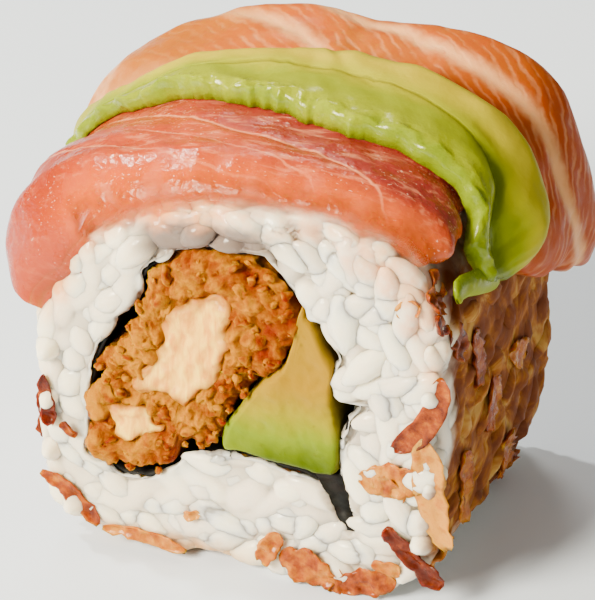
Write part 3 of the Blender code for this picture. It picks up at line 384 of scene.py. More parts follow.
class Finish:
    """One material: a Principled shader, the nodes that feed it and the base colour that they build up."""

    def __init__(self, name, colours, **constants):
        self.colours = colours
        self.base = None
        self.material = bpy.data.materials.new(name)
        self.material.use_nodes = True
        self.tree = self.material.node_tree
        self.shader = self.tree.nodes["Principled BSDF"]
        for words, value in constants.items():
            self.shader.inputs[words.replace("_", " ").title().replace("Ior", "IOR")].default_value = value
        coordinates = self.tree.nodes.new("ShaderNodeTexCoord").outputs["Object"]
        self.place = self.node("ShaderNodeVectorMath", {"operation": "SCALE"},
                               {0: Value(coordinates), "Scale": 1 / MM})
        split = self.tree.nodes.new("ShaderNodeSeparateXYZ")
        self.tree.links.new(self.place.socket, split.inputs[0])
        self.x, self.y, self.z = (Value(out) for out in split.outputs)

    def node(self, kind, settings, inputs, output=0):
        """Add a node: its settings come first, then its sockets' values, colours by name, or links."""
        node = self.tree.nodes.new(kind)
        for name, value in settings.items():
            if name == "stops":
                ramp = node.color_ramp
                while len(ramp.elements) < len(value):
                    ramp.elements.new(0.5)
                for element, (position, colour) in zip(ramp.elements, value):
                    element.position = position
                    element.color = (*getattr(self.colours, colour), 1.0)
            else:
                setattr(node, name, value)
        for name, value in inputs.items():
            if isinstance(value, Value):
                self.tree.links.new(value.socket, node.inputs[name])
            elif isinstance(value, str):
                node.inputs[name].default_value = (*getattr(self.colours, value), 1.0)
            else:
                node.inputs[name].default_value = value
        return Value(node.outputs[output])

    def noise(self, size, detail=3.0, rough=0.55, bend=0.0, vector=None):
        """Noise from 0 to 1 whose lumps have a size in millimetres."""
        return self.node("ShaderNodeTexNoise", {}, {
            "Vector": vector or self.place, "Scale": 1.0 / size, "Detail": detail, "Roughness": rough,
            "Distortion": bend})

    def cells(self, size):
        """Distance to the middle of the nearest cell, for cells with a size in millimetres."""
        return self.node("ShaderNodeTexVoronoi", {}, {"Vector": self.place, "Scale": 1.0 / size})

    def turned(self, x, y, z, stretch):
        """The place turned by angles in degrees and then stretched."""
        return self.node("ShaderNodeMapping", {"vector_type": "POINT"}, {
            "Vector": self.place, "Rotation": tuple(math.radians(a) for a in (x, y, z)), "Scale": stretch})

    def mark(self, name):
        """A number stored on the piece's points."""
        return self.node("ShaderNodeAttribute", {"attribute_name": name}, {}, 2)

    def fade(self, value, start, end):
        """0 at the start, 1 at the end, smooth between."""
        return self.node("ShaderNodeMapRange", {"interpolation_type": "SMOOTHSTEP"},
                         {"Value": value, "From Min": start, "From Max": end})

    def near(self, x, y, z, reach):
        """1 at a place in millimetres, falling to 0 at a reach from it."""
        gap = self.node("ShaderNodeVectorMath", {"operation": "DISTANCE"}, {0: self.place, 1: (x, y, z)}, 1)
        return 1 - self.fade(gap, 0.0, reach)

    def mix(self, share, first, second):
        """Blend two colours, each a value or a colour's name, by a share."""
        return self.node("ShaderNodeMix", {"data_type": "RGBA"}, {0: share, 6: first, 7: second}, 2)

    def over(self, share, colour):
        """Lay a colour over the base colour."""
        self.base = self.mix(share, self.base, colour)

    def ramp(self, value, *stops):
        """A colour read from stops of (position, colour's name)."""
        return self.node("ShaderNodeValToRGB", {"stops": stops}, {"Fac": value})

    def feed(self, name, value):
        self.tree.links.new(value.socket, self.shader.inputs[name])

    def bump(self, *layers):
        """Relief from layers of (height, strength, depth in millimetres), each on top of the last."""
        normal = None
        for height, strength, depth in layers:
            inputs = {"Height": height, "Strength": strength, "Distance": depth * MM}
            if normal:
                inputs["Normal"] = normal
            normal = self.node("ShaderNodeBump", {}, inputs)
        self.feed("Normal", normal)


def rice_finish(colours):
    """Moist translucent rice: painted shade in the creases and at the clearer top of the ring; stained on the sides.
    """
    f = Finish("rice", colours, subsurface_weight=0.8, subsurface_scale=0.0015,
               subsurface_radius=(1.0, 0.85, 0.65), ior=1.42, specular_ior_level=0.05, coat_roughness=0.12,
               coat_ior=1.4)
    f.base = f.mix(f.fade(f.mark("tone"), 0.15, 0.8), "rice_cool", "rice_white")
    f.over(f.fade(f.noise(9.0) - f.x * 0.012, 0.42, 0.75) * 0.6, "rice_warm")
    # Painted shade: rice_shade darkens the rice where it lies deep between the grains.
    f.over(f.fade(f.mark("crease"), 0.1, 0.9) * 0.75, "rice_shade")
    front = f.fade(f.y, -11.0, -15.0)
    out = (abs(f.x - 0.5) / 21.7) ** 2.8 + (abs(f.z - 20.0) / 21.5) ** 2.8 + (f.noise(3.0, 3.0) - 0.5) * 0.25
    # Painted shade at the top of the ring over the filling, which also stands for the clearer rice there.
    inner = f.fade(out, 0.82, 0.6) * f.fade(f.z, 33.0, 35.5) * f.fade(f.x, 7.0, 1.0) * f.fade(f.x, -12.0, -8.0) * front
    f.over(inner * 0.9, "rice_inner")
    sides = f.fade(f.x, 2.0, -5.0) * 0.6 + f.fade(f.x, 7.0, 14.0) * 0.2 + f.fade(f.noise(3.0), 0.35, 0.6) * 0.4
    outer = f.fade(out, 0.55, 0.82) * f.fade(f.z, 23.0, 29.0) * sides * front
    f.over(outer * 0.9, "rice_fish_tint")
    patches = f.ramp(f.noise(5.5, 4.0, 0.6, 1.2), (0.33, "rice_stain"), (0.45, "rice_brown"), (0.54, "rice_gold"),
                     (0.65, "rice_beige"))
    corner = f.fade(f.z, 18.0, 13.0) * 4.0
    right = f.fade(f.x + f.noise(2.0) * 2.0, 19.5, 21.5) * f.fade(f.y + corner + f.noise(3.0) * 3.0, -12.5, -10.0)
    f.over(right * 0.98, patches)
    # Painted shadow, partly stained onion, in the gap between the tuna's right end and the avocado.
    gap_shadow_and_stain = f.near(20.5, -9.0, 39.0, 8.0) + f.near(22.0, -11.0, 33.0, 5.0) * 0.8
    f.over(f.fade(gap_shadow_and_stain, 0.15, 0.7), "rice_stain")
    spread_out = f.fade(f.noise(4.2, 4.0, 0.6, 0.6), 0.4, 0.6)
    left = f.fade(-1 * f.x, 19.0, 22.5) * spread_out * f.fade(f.y, -15.5, -12.0)
    rear = f.fade(f.y, 12.0, 15.0) * spread_out * 0.3
    f.over((left * 0.45 + rear).at_most(1.0), "rice_gold")
    low = f.fade(f.z + f.noise(2.4, 3.0) * 2.0, 5.0, 1.6) * f.fade(-1 * f.x, -6.0, 4.0)
    f.over(low * f.fade(f.noise(3.4, 3.0), 0.25, 0.5) * 0.85, "rice_syrup")
    f.feed("Base Color", f.base)
    wet = f.fade(f.noise(1.4, 2.0), 0.40, 0.62)
    f.feed("Roughness", 0.42 - wet * 0.2 + right * 0.3)
    f.feed("Coat Weight", (wet * 0.65 + 0.1) * (1 - right))
    f.bump((f.noise(0.9, 3.0), 0.6, 0.12), (f.noise(0.3, 2.0), 0.5, 0.04))
    return f.material


def nori_finish(colours):
    """Seaweed: near-black, with brown patches and a fine grain."""
    f = Finish("nori", colours, specular_ior_level=0.2)
    f.feed("Base Color", f.mix(f.fade(f.noise(2.6, 4.0), 0.45, 0.75), "nori", "nori_brown"))
    f.feed("Roughness", 0.62 - 0.3 * f.fade(f.noise(1.2), 0.5, 0.8))
    f.bump((f.noise(0.7, 4.0, 0.65), 0.8, 0.12), (f.noise(0.2), 0.5, 0.04))
    return f.material


def crust_finish(colours):
    """Fried crumbs: bright yellow-orange, darker at the right and below; painted shade in creases, light on tops."""
    f = Finish("crust", colours, specular_tint=(1.0, 0.6, 0.1, 1.0), subsurface_weight=0.5, subsurface_scale=0.0012,
               subsurface_radius=(1.0, 0.45, 0.05), specular_ior_level=0.08)
    tone, height = f.mark("tone"), f.mark("height")
    # Painted light and shade: the lumps' height lightens their tops and darkens the creases, on top of tone that
    # drifts at random and a lighter spot at the left.
    light = (f.noise(1.5, 4.0, 0.62) - 0.5) * 1.3 + (height - 0.5) * 0.6 + (tone - 0.5) * 0.3 + 0.46
    light = light + f.near(-10.0, -16.0, 23.0, 12.0) * 0.2
    f.base = f.ramp(light, (0.22, "crust_deep_and_shade"), (0.48, "crust_mid"), (0.78, "crust_bright"))
    dark = f.near(6.0, -16.0, 25.5, 7.0) * 0.95 + f.near(5.0, -16.0, 31.0, 5.0) * 0.6
    dark = dark + f.near(-6.0, -16.0, 9.5, 6.0) * 0.75 + f.near(-14.5, -16.0, 24.0, 5.5) * 0.5
    dark = (dark + f.fade(abs(f.y), 15.0, 13.0) * 0.5) * f.fade(f.noise(1.7, 3.0), 0.3, 0.62)
    f.over(dark.at_most(1.0) * 0.85, "crust_brown")
    # Painted highlights on the tops of the highest lumps.
    pale = f.fade(height, 0.6, 0.9) * f.fade(f.noise(1.3), 0.4, 0.65)
    f.over(pale * 0.6, "crust_tip")
    f.feed("Base Color", f.base)
    f.feed("Roughness", 0.6 - 0.32 * f.fade(f.noise(0.9, 2.0), 0.48, 0.7))
    f.bump((f.noise(0.5, 4.0, 0.65), 0.9, 0.16), (f.noise(0.16, 2.0), 0.6, 0.05))
    return f.material


def meat_finish(colours):
    """Pale cooked meat with fibres that run up to the right."""
    f = Finish("meat", colours, subsurface_weight=0.8, subsurface_scale=0.0018, subsurface_radius=(1.0, 0.6, 0.4),
               ior=1.4, specular_ior_level=0.3)
    fibres = f.noise(1.0, 4.0, 0.6, 0.4, f.turned(0, 32, 0, (1.5, 1.0, 0.28)))
    f.base = f.mix(f.fade(fibres, 0.3, 0.72), "meat_pink", "meat_pale")
    rim = f.fade(f.mark("rim") + (f.noise(1.5, 3.0) - 0.5) * 0.3, 0.62, 0.98)
    f.over(rim * 0.9, "meat_rim")
    f.feed("Base Color", f.base)
    f.feed("Roughness", 0.5 - 0.2 * f.fade(f.noise(1.4), 0.45, 0.7))
    f.bump((fibres, 0.8, 0.16), (f.noise(0.3), 0.4, 0.04))
    return f.material


def wedge_finish(colours):
    """Avocado flesh: yellow above, green below, with a darker right edge."""
    f = Finish("avocado_flesh", colours, subsurface_weight=0.6, subsurface_scale=0.0015,
               subsurface_radius=(0.8, 0.8, 0.3), specular_ior_level=0.14, specular_tint=(0.9, 1.0, 0.3, 1.0))
    height = f.fade(f.z + f.noise(3.0) * 3.0, 14.0, 25.0)
    f.base = f.ramp(height, (0.0, "avocado_deep"), (0.3, "avocado_green"), (0.62, "wedge_yellow"),
                    (1.0, "wedge_cream"))
    f.over(f.near(-1.5, -16.0, 14.5, 5.5) * 0.8, "avocado_green")
    f.over(f.fade(f.mark("rim"), 0.9, 1.0) * f.fade(f.x, 7.0, 9.0) * 0.6, "avocado_edge")
    spots = 1 - f.fade(f.cells(1.8), 0.06, 0.16)
    f.over(spots * 0.35, "avocado_edge")
    f.feed("Base Color", f.base)
    f.feed("Roughness", 0.42 - 0.16 * f.fade(f.noise(2.0), 0.4, 0.7))
    f.bump((f.noise(1.6, 3.0), 0.6, 0.16), (f.noise(0.4), 0.35, 0.04))
    return f.material


def slice_finish(colours):
    """The avocado slice: lime at its front lip, yellow behind a thin dark line, olive at its rear edge."""
    f = Finish("avocado_slice", colours, subsurface_weight=0.55, subsurface_scale=0.0015,
               subsurface_radius=(0.8, 0.8, 0.15), specular_ior_level=0.12, specular_tint=(0.9, 1.0, 0.3, 1.0),
               coat_roughness=0.15, coat_ior=1.4)
    share, line, reach = f.mark("share"), f.mark("line"), f.mark("reach")
    drift = (f.noise(4.0, 3.0) - 0.5) * 0.3
    f.base = f.ramp(share + drift, (0.0, "avocado_green"), (0.1, "avocado_lime"), (0.4, "avocado_lime"),
                    (0.6, "avocado_yellow"), (0.82, "avocado_cream"), (0.99, "avocado_olive"))
    f.over(f.fade(reach, -12.0, -19.0) * 0.55, "avocado_green")
    f.over(f.fade(reach, 13.0, 21.0) * f.fade(share, 0.5, 0.75) * 0.85, "avocado_olive")
    crease = 1 - f.fade(abs(line + (f.noise(2.0) - 0.5) * 0.5), 0.05, 0.32)
    f.over(crease * 0.35, "avocado_edge")
    behind = f.fade(line, 1.6, 0.1) * f.fade(line, -0.4, 0.1)
    f.over(behind * 0.25, "avocado_green")
    # Painted shade in the groove where the slice folds at its right end.
    groove_shade = f.fade(abs(line - 0.35), 1.5, 0.2) * f.fade(reach, 13.5, 19.0)
    f.over(groove_shade * 0.6, "avocado_deep")
    f.feed("Base Color", f.base)
    lip = f.fade(share, 0.34, 0.08)
    wet = f.fade(f.noise(1.3, 2.0), 0.38, 0.62)
    f.feed("Roughness", 0.46 - lip * wet * 0.3)
    f.feed("Coat Weight", lip * wet * 0.8)
    f.bump((f.noise(2.2, 3.0), 0.5, 0.2), (f.noise(0.5, 3.0) * (lip * 0.8 + 0.2), 0.6, 0.12),
           (crease * -1.0, 0.5, 0.12))
    return f.material


def tuna_finish(colours):
    """Translucent fish: coral, redder right and rear with painted shade under the avocado, thin and pale at its front
    edge.
    """
    f = Finish("tuna", colours, subsurface_weight=0.45, subsurface_scale=0.0010, subsurface_radius=(1.0, 0.3, 0.2),
               ior=1.42, specular_ior_level=0.4, specular_tint=(1.0, 0.85, 0.75, 1.0))
    reach, edge = f.mark("reach"), f.mark("edge")
    # Deeper red flesh towards the rear, with painted shade under the avocado's front edge.
    above = f.fade(f.mark("vein_0") + (f.noise(2.4, 3.0) - 0.5) * 0.9, -0.3, 0.8)
    red = above * (f.fade(reach, -22.0, 2.0) * 0.7 + 0.3)
    f.base = f.mix(f.fade(f.noise(5.0, 4.0), 0.35, 0.72), "tuna_coral", "tuna_pink")
    f.over(f.fade(reach, -6.0, 8.0) * 0.75, "tuna_rose")
    f.over(red * 0.9, "tuna_red")
    end = f.fade(reach, -13.0, -20.0)
    f.over(end * 0.9, "tuna_deep")
    mottle = f.fade(f.noise(2.6, 5.0, 0.66, 1.0), 0.5, 0.68)
    f.over(mottle * 0.4, "tuna_rose")
    fibres = f.noise(0.9, 4.0, 0.62, 0.4, f.turned(0, 0, -24, (0.22, 1.3, 1.0)))
    f.over(f.fade(fibres, 0.50, 0.70) * (0.4 - end * 0.3), "tuna_pale")
    for name, width, strength in (("vein_0", 0.24, 0.7), ("vein_1", 0.2, 0.6), ("vein_2", 0.16, 0.4)):
        wander = (f.noise(2.4, 3.0) - 0.5) * 0.9
        vein = 1 - f.fade(abs(f.mark(name) + wander), 0.04, width)
        f.over(vein * strength * f.fade(f.noise(3.2), 0.2, 0.55), "tuna_pale")
    thin = f.fade(edge + (f.noise(1.8, 3.0) - 0.5) * 2.0, 5.5, 1.6) * (f.fade(reach, -22.0, -15.0) * 0.85 + 0.15)
    f.over(thin * 0.9, "tuna_edge")
    # Painted highlights: small pale glints of wet light laid into the colour.
    painted_glints = f.fade(f.noise(0.28, 1.0, 0.5, 0.0, f.turned(0, 0, 35, (0.55, 1.2, 1.0))), 0.66, 0.74)
    painted_glints = painted_glints * f.fade(f.noise(3.5), 0.42, 0.6)
    f.over(painted_glints * 0.35, "tuna_glint")
    f.feed("Base Color", f.base)
    film = f.mark("front") + (f.noise(1.2, 3.0) - 0.5) * 1.8 + f.fade(reach, -17.5, -20.5) * 4.0
    f.feed("Alpha", f.fade(film, 0.0, 3.4) ** 0.8)
    wet = f.fade(f.noise(3.5), 0.36, 0.56)
    f.feed("Roughness", 0.42 - 0.26 * wet)
    rows = f.noise(0.55, 3.0, 0.6, 0.8, f.turned(0, 0, 30, (0.55, 1.0, 1.0)))
    f.bump((f.noise(1.7, 3.0), 0.4, 0.16), (rows, 0.6, 0.10), (f.cells(0.7) * wet, 0.6, 0.09))
    return f.material


def salmon_finish(colours):
    """Orange fish with wide pale stripes of fat and fine slanting lines between them."""
    f = Finish("salmon", colours, subsurface_weight=0.55, subsurface_scale=0.0016, subsurface_radius=(1.0, 0.4, 0.15),
               ior=1.42, specular_ior_level=0.15, specular_tint=(1.0, 0.7, 0.3, 1.0), coat_roughness=0.25)
    reach, depth = f.mark("reach"), f.mark("depth")
    f.base = f.mix(f.fade(f.noise(6.0, 4.0), 0.35, 0.7), "salmon_orange", "salmon_light")
    f.over(f.fade(reach, 8.0, 22.0) * 0.8, "salmon_deep")
    slant = (reach + depth * 0.9 + (f.noise(3.0, 3.0) - 0.5) * 2.6) / 1.5
    lines = f.fade(abs(slant.fraction() - 0.5), 0.3, 0.02) * f.fade(f.noise(2.6), 0.3, 0.65)
    f.over(lines * 0.32, "salmon_fat")
    for name, width, strength in (("stripe_0", 1.9, 0.9), ("stripe_1", 1.6, 0.92), ("stripe_2", 1.3, 0.6),
                                  ("stripe_3", 2.6, 0.8)):
        wander = (f.noise(3.0, 4.0) - 0.5) * 1.5 + (f.noise(0.8) - 0.5) * 0.5
        stripe = 1 - f.fade(abs(f.mark(name) + wander), 0.0, width)
        f.over(stripe * strength, "salmon_fat")
    f.over(f.fade(reach, -4.0, -14.0) * 0.7, "salmon_gold")
    f.over(f.fade(reach, -17.0, -22.0) * f.fade(f.noise(4.0), 0.35, 0.6) * 0.6, "salmon_fat")
    f.feed("Base Color", f.base)
    wet = f.fade(f.noise(2.0, 3.0), 0.4, 0.66)
    f.feed("Roughness", 0.5 - 0.16 * wet)
    f.feed("Coat Weight", wet * 0.2)
    f.bump((f.noise(2.4, 3.0), 0.5, 0.22), (lines * -1.0, 0.3, 0.1), (f.noise(0.35, 3.0), 0.4, 0.05))
    return f.material


def flake_finish(colours):
    """Fried onion: from pale gold to dark red by the flake's tone, blotched and oily."""
    f = Finish("flake", colours, specular_tint=(1.0, 0.7, 0.4, 1.0), subsurface_weight=0.4, subsurface_scale=0.0008,
               subsurface_radius=(1.0, 0.5, 0.15), specular_ior_level=0.1, coat_weight=0.3, coat_roughness=0.2)
    tone = f.mark("tone") + (f.noise(1.4, 4.0, 0.62) - 0.5) * 1.4
    f.base = f.ramp(tone, (0.0, "flake_pale"), (0.25, "flake_gold"), (0.5, "flake_orange"), (0.75, "flake_brown"),
                    (1.0, "flake_dark"))
    f.feed("Base Color", f.base)
    oily = f.fade(f.noise(1.3, 2.0), 0.4, 0.66)
    f.feed("Roughness", 0.5 - 0.28 * oily)
    f.bump((f.noise(0.8, 4.0, 0.6), 0.8, 0.24), (f.noise(0.25, 2.0), 0.5, 0.05))
    return f.material


def floor_finish(colours):
    """A pale floor whose colour drifts very slightly."""
    f = Finish("floor", colours, roughness=0.55, specular_ior_level=0.3)
    f.feed("Base Color", f.mix(f.noise(60.0) * 0.3, "floor", "floor_shade"))
    return f.material


def along_path(path, share):
    """The point at a share of the way through a path's knots."""
    place = share * (len(path) - 1)
    index = min(int(place), len(path) - 2)
    return Vector(path[index]).lerp(Vector(path[index + 1]), place - index)


def new_marks(shape, *names):
    """Add numbers that each point keeps, by name."""
    return [shape.verts.layers.float.new(name) for name in names]


def doubled(shape):
    """Copy a grid, close the two round their edge, and give the copy's points, which are the lower face."""
    copied = bmesh.ops.extrude_face_region(shape, geom=shape.faces[:], use_keep_orig=True)
    return {item for item in copied["geom"] if isinstance(item, bmesh.types.BMVert)}


def above_floor(shape):
    """Flatten what would go through the surface that the roll rests on."""
    for vert in shape.verts:
        vert.co.z = max(vert.co.z, 0.0)


def finish_piece(name, shape, material, nodes=()):
    """Scale a bmesh from millimetres, make it a smooth piece of the roll and say which nodes it replaces."""
    bmesh.ops.scale(shape, vec=(MM, MM, MM), verts=shape.verts[:])
    mesh = bpy.data.meshes.new(name)
    shape.to_mesh(mesh)
    shape.free()
    mesh.materials.append(material)
    mesh.shade_smooth()
    piece = bpy.data.objects.new(name, mesh)
    bpy.context.scene.collection.objects.link(piece)
    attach(piece, "root")
    if nodes:
        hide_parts(*nodes)


def smooth_outline(points, per_span=12):
    """A closed Catmull-Rom curve through points given as (x, z)."""
    knots = [Vector(p) for p in points]
    count = len(knots)
    outline = []
    for i in range(count):
        a, b, c, d = (knots[(i + k) % count] for k in (-1, 0, 1, 2))
        for step in range(per_span):
            t = step / per_span
            outline.append(0.5 * (2 * b + (c - a) * t + (2 * a - 5 * b + 4 * c - d) * t * t
                                  + (3 * b - 3 * c + d - a) * t ** 3))
    return outline


def offset_outline(outline, distance):
    """Move a closed clockwise outline outwards by a distance."""
    count = len(outline)
    moved = []
    for i, point in enumerate(outline):
        along = (outline[(i + 1) % count] - outline[i - 1]).normalized()
        moved.append(point + Vector((-along.y, along.x)) * distance)
    return moved


def to_segment(point, a, b):
    """Distance from a point to the line from a to b, and the share of the way along it."""
    side = b - a
    t = clamp((point - a).dot(side) / side.length_squared)
    return (point - a - side * t).length, t


def clearance(point, outline):
    """Distance from a point to a closed outline, negative inside it."""
    inside = False
    nearest = 1000.0
    for a, b in zip(outline, outline[1:] + outline[:1]):
        nearest = min(nearest, to_segment(point, a, b)[0])
        if (a.y > point.y) != (b.y > point.y):
            if point.x < a.x + (point.y - a.y) / (b.y - a.y) * (b.x - a.x):
                inside = not inside
    return -nearest if inside else nearest


def heading(angle):
    """The direction at an angle clockwise from straight up."""
    return Vector((math.sin(angle), math.cos(angle)))


def reach_to(outline, centre, angle):
    """How far a closed outline lies from a centre inside it, in a direction."""
    ray = heading(angle)
    farthest = 0.0
    for a, b in zip(outline, outline[1:] + outline[:1]):
        side = b - a
        cross = ray.x * side.y - ray.y * side.x
        if abs(cross) < 1e-9:
            continue
        gap = a - centre
        along = (gap.x * side.y - gap.y * side.x) / cross
        part = (gap.x * ray.y - gap.y * ray.x) / cross
        if along > 0 and -1e-6 <= part <= 1 + 1e-6:
            farthest = max(farthest, along)
    return farthest


def wrapped_grid(around, steps, *names):
    """A grid to wrap round a piece, each point with its step round the piece and across it, and new marks.

    The last step round the piece is the first one again.
    """
    shape = bmesh.new()
    bmesh.ops.create_grid(shape, x_segments=around, y_segments=steps, size=0.5)
    marks = new_marks(shape, *names)
    places = [(vert, round((vert.co.x + 0.5) * around), round((vert.co.y + 0.5) * steps))
              for vert in shape.verts]
    return shape, places, marks


def close_up(shape):
    """Merge the seam and the poles of a wrapped grid, and turn its faces outwards."""
    bmesh.ops.remove_doubles(shape, verts=shape.verts[:], dist=0.001)
    bmesh.ops.dissolve_degenerate(shape, dist=0.0005, edges=shape.edges[:])
    bmesh.ops.recalc_face_normals(shape, faces=shape.faces[:])


def through_piece(outline, centre, half_depth, around, face_steps, side_steps, rounding):
    """A closed piece that runs through the roll: two round-edged end faces and a side, all one wrapped grid.

    Its points keep "rim": 0 at the middle of an end face, 1 at its edge and along the side.
    """
    steps = 2 * face_steps + side_steps
    shape, places, (rim,) = wrapped_grid(around, steps, "rim")
    angles = [2 * math.pi * i / around for i in range(around)]
    reaches = [reach_to(outline, centre, angle) for angle in angles]
    for vert, index, row in places:
        index %= around
        if row <= face_steps:
            share, depth = row / face_steps, -half_depth
        elif row >= face_steps + side_steps:
            share, depth = (steps - row) / face_steps, half_depth
        else:
            share = 1.0
            depth = -half_depth + 2 * half_depth * (row - face_steps) / side_steps
        vert[rim] = share
        reach = reaches[index]
        inward = max(0.0, share * reach - (reach - rounding)) / rounding
        sunk = rounding * (1 - math.sqrt(max(0.0, 1 - min(inward, 1.0) ** 2)))
        if abs(depth) >= half_depth:
            depth -= math.copysign(sunk, depth)
        place = centre + heading(angles[index]) * (reach * share)
        vert.co = (place.x, depth, place.y)
    close_up(shape)
    return shape


def push_out(shape, height):
    """Move each point along its normal by a height worked out from its place and itself."""
    shape.normal_update()
    moves = [(vert, vert.normal * height(vert)) for vert in shape.verts]
    for vert, move in moves:
        vert.co += move


class Batch:
    """Many placed copies of a few small shapes in one mesh, each with its own tone."""

    def __init__(self, *marks):
        self.shape = bmesh.new()
        new_marks(self.shape, *marks)

    def add(self, template, matrix, tone):
        copy = template.copy()
        copy.transform(matrix)
        copy.attributes["tone"].data.foreach_set("value", [tone] * len(copy.vertices))
        self.shape.from_mesh(copy)
        bpy.data.meshes.remove(copy)


def template_mesh(shape):
    """Keep a small bmesh as a mesh that a batch can copy."""
    if not shape.verts.layers.float.get("tone"):
        new_marks(shape, "tone")
    mesh = bpy.data.meshes.new("template")
    shape.to_mesh(mesh)
    shape.free()
    return mesh


class PressedGrains:
    """Grains pressed into a flat field, whose tops run into each other."""

    CELL = 4.0

    def __init__(self):
        self.cells = {}

    def add(self, place, heading, length, width, top, tone):
        x, y = place
        grain = (x, y, math.cos(heading), math.sin(heading), length / 2, width / 2, top, tone)
        reach = length / 2
        for i in range(int((x - reach) // self.CELL), int((x + reach) // self.CELL) + 1):
            for j in range(int((y - reach) // self.CELL), int((y + reach) // self.CELL) + 1):
                self.cells.setdefault((i, j), []).append(grain)

    def read(self, x, y, plump, softness):
        """Height and tone at a point; plump is how far the grains stand up from between them."""
        tops = [(-plump, 0.1)]
        for px, py, ax, ay, half_length, half_width, top, tone in self.cells.get((x // self.CELL, y // self.CELL), ()):
            along = abs((x - px) * ax + (y - py) * ay) / half_length
            across = abs((y - py) * ax - (x - px) * ay) / half_width
            out = along ** 2.6 + across ** 2.2
            if out < 1:
                tops.append((plump * (top - 1 + math.sqrt(1 - out)), tone))
        high = max(tops)[0]
        weights = [math.exp((height - high) / softness) for height, _ in tops]
        total = sum(weights)
        tone = sum(weight * tone for weight, (_, tone) in zip(weights, tops)) / total
        return high + softness * math.log(total), tone


def grain_templates(draw, count):
    """Cooked grains, each plump, a little bent and uneven, and blunter at one end."""
    made = []
    for number in range(count):
        shape = bmesh.new()
        bmesh.ops.create_uvsphere(shape, u_segments=10, v_segments=7, radius=0.5)
        bmesh.ops.transform(shape, matrix=Matrix.Rotation(math.pi / 2, 4, "Y"), verts=shape.verts[:])
        bend = draw.uniform(-0.25, 0.25)
        for vert in shape.verts:
            along = vert.co.x
            plump = 1 + 0.10 * math.cos(2 * math.pi * along) + 0.16 * along
            vert.co.y *= plump
            vert.co.z *= plump * 0.92
            vert.co.y += bend * along * along
            vert.co += Vector((0, 1, 1)) * 0.05 * swirl(*vert.co, 0.4, number)
        made.append(template_mesh(shape))
    return made


def crumb_templates(count):
    """Crumbs: small balls with uneven lumps, which keep how high each point stands."""
    made = []
    for number in range(count):
        shape = bmesh.new()
        bmesh.ops.create_icosphere(shape, subdivisions=2, radius=0.5)
        height, = new_marks(shape, "height")
        for vert in shape.verts:
            lump = lumps(*vert.co, 0.55, number * 3.1)
            vert[height] = lump
            vert.co *= 0.6 + 0.4 * lump + 0.55 * swirl(*vert.co, 0.5, number)
        made.append(template_mesh(shape))
    return made


def drop_meshes(meshes):
    """Remove templates that were only copied."""
    for mesh in meshes:
        bpy.data.meshes.remove(mesh)


def spread(draw, field, spacing, allowed, throws):
    """Points thrown at random in a rectangle, none nearer to another than the spacing."""
    low, high = field
    cells = {}
    chosen = []
    for _ in range(throws):
        point = Vector((draw.uniform(low[0], high[0]), draw.uniform(low[1], high[1])))
        column, row = int(point.x // spacing), int(point.y // spacing)
        close = [other for i in (-1, 0, 1) for j in (-1, 0, 1) for other in cells.get((column + i, row + j), ())]
        if all((point - other).length > spacing for other in close) and allowed(point):
            chosen.append(point)
            cells.setdefault((column, row), []).append(point)
    return chosen


def covered_to(depth, side):
    """How far down a side the slices reach at a depth along the log."""
    if side > 0:
        ends = ((-16, 21.0), (-13, 24.0), (-9, 25.0), (-5, 26.5), (2, 27.5), (8, 30.8), (16, 33.6))
    else:
        ends = ((-16, 29.2), (16, 29.8))
    return between(ends, depth)


def end_axes(facing, heading):
    """Axes on an end of the log, whose first axis has a heading in its plane."""
    along = Vector((math.cos(heading), 0.0, math.sin(heading)))
    normal = Vector((0.0, facing, 0.0))
    return Matrix((along, normal.cross(along), normal)).transposed()


def placed(place, axes, sizes):
    """A matrix that scales a template, turns it to some axes and puts it at a place."""
    return Matrix.Translation(place) @ axes.to_4x4() @ Matrix.Diagonal((*sizes, 1.0))


def end_outline(facing):
    """The log's outline at one end."""
    span = LOG.right_end - LOG.left_end
    rim = []
    for i in range(120):
        distance = LOG.left_end + span * i / 120
        place, outward = LOG.frame(distance)
        rim.append(place + outward * LOG.swell(distance, facing * HALF_DEPTH))
    return rim


def crispness(x, z):
    """How apart the grains on the cut look: smeared at the left and low down, clear at the right."""
    right = smooth_step(x, -3, 7) * smooth_step(z, 3, 13)
    upper_left = 0.35 * smooth_step(-x, 8, 14) * smooth_step(z, 24, 30)
    top = 0.5 * smooth_step(z, 32, 35.5)
    return min(0.34 + 0.66 * right + upper_left + top + 0.2 * smooth_step(x, 4, 12), 1.0)


def face_field(sizes, facing):
    """The grains that were cut or pressed flat at one end of the log."""
    draw = random.Random(11 if facing < 0 else 12)
    field = PressedGrains()
    for spot in spread(draw, ((-26, -1), (26, 46)), sizes.grain_width * 0.72, lambda point: True, 9000):
        outward = spot - HOLE_CENTRE
        heading = math.atan2(outward.y, outward.x) + math.pi / 2 + draw.gauss(0, 0.75)
        length = sizes.grain_length * draw.choice((0.55, 0.85, 1.0, 1.1))
        width = sizes.grain_width * draw.uniform(0.85, 1.15)
        field.add(spot, heading, length, width, draw.uniform(-0.75, 0.15), draw.random())
    return field


def side_field(sizes):
    """The grains round the log, by distance and depth."""
    draw = random.Random(13)
    field = PressedGrains()
    low, high = (LOG.left_end - 3, -17), (LOG.right_end + 3, 17)
    for spot in spread(draw, (low, high), sizes.grain_width * 0.78, lambda point: True, 30000):
        length = sizes.grain_length * draw.uniform(0.75, 1.1)
        width = sizes.grain_width * draw.uniform(0.85, 1.15)
        field.add(spot, draw.uniform(0, math.pi), length, width, draw.uniform(-0.6, 0.15), draw.random())
    return field


def tail_gap(x, z):
    """Distance from a point to the slit round the seaweed's tail, negative inside it."""
    gaps = []
    for number, (a, b) in enumerate(zip(TAIL_PATH, TAIL_PATH[1:])):
        gap, t = to_segment(Vector((x, z)), Vector(a), Vector(b))
        gaps.append(gap - straight_between(TAIL_WIDTH, (number + t) / (len(TAIL_PATH) - 1)))
    return min(gaps)


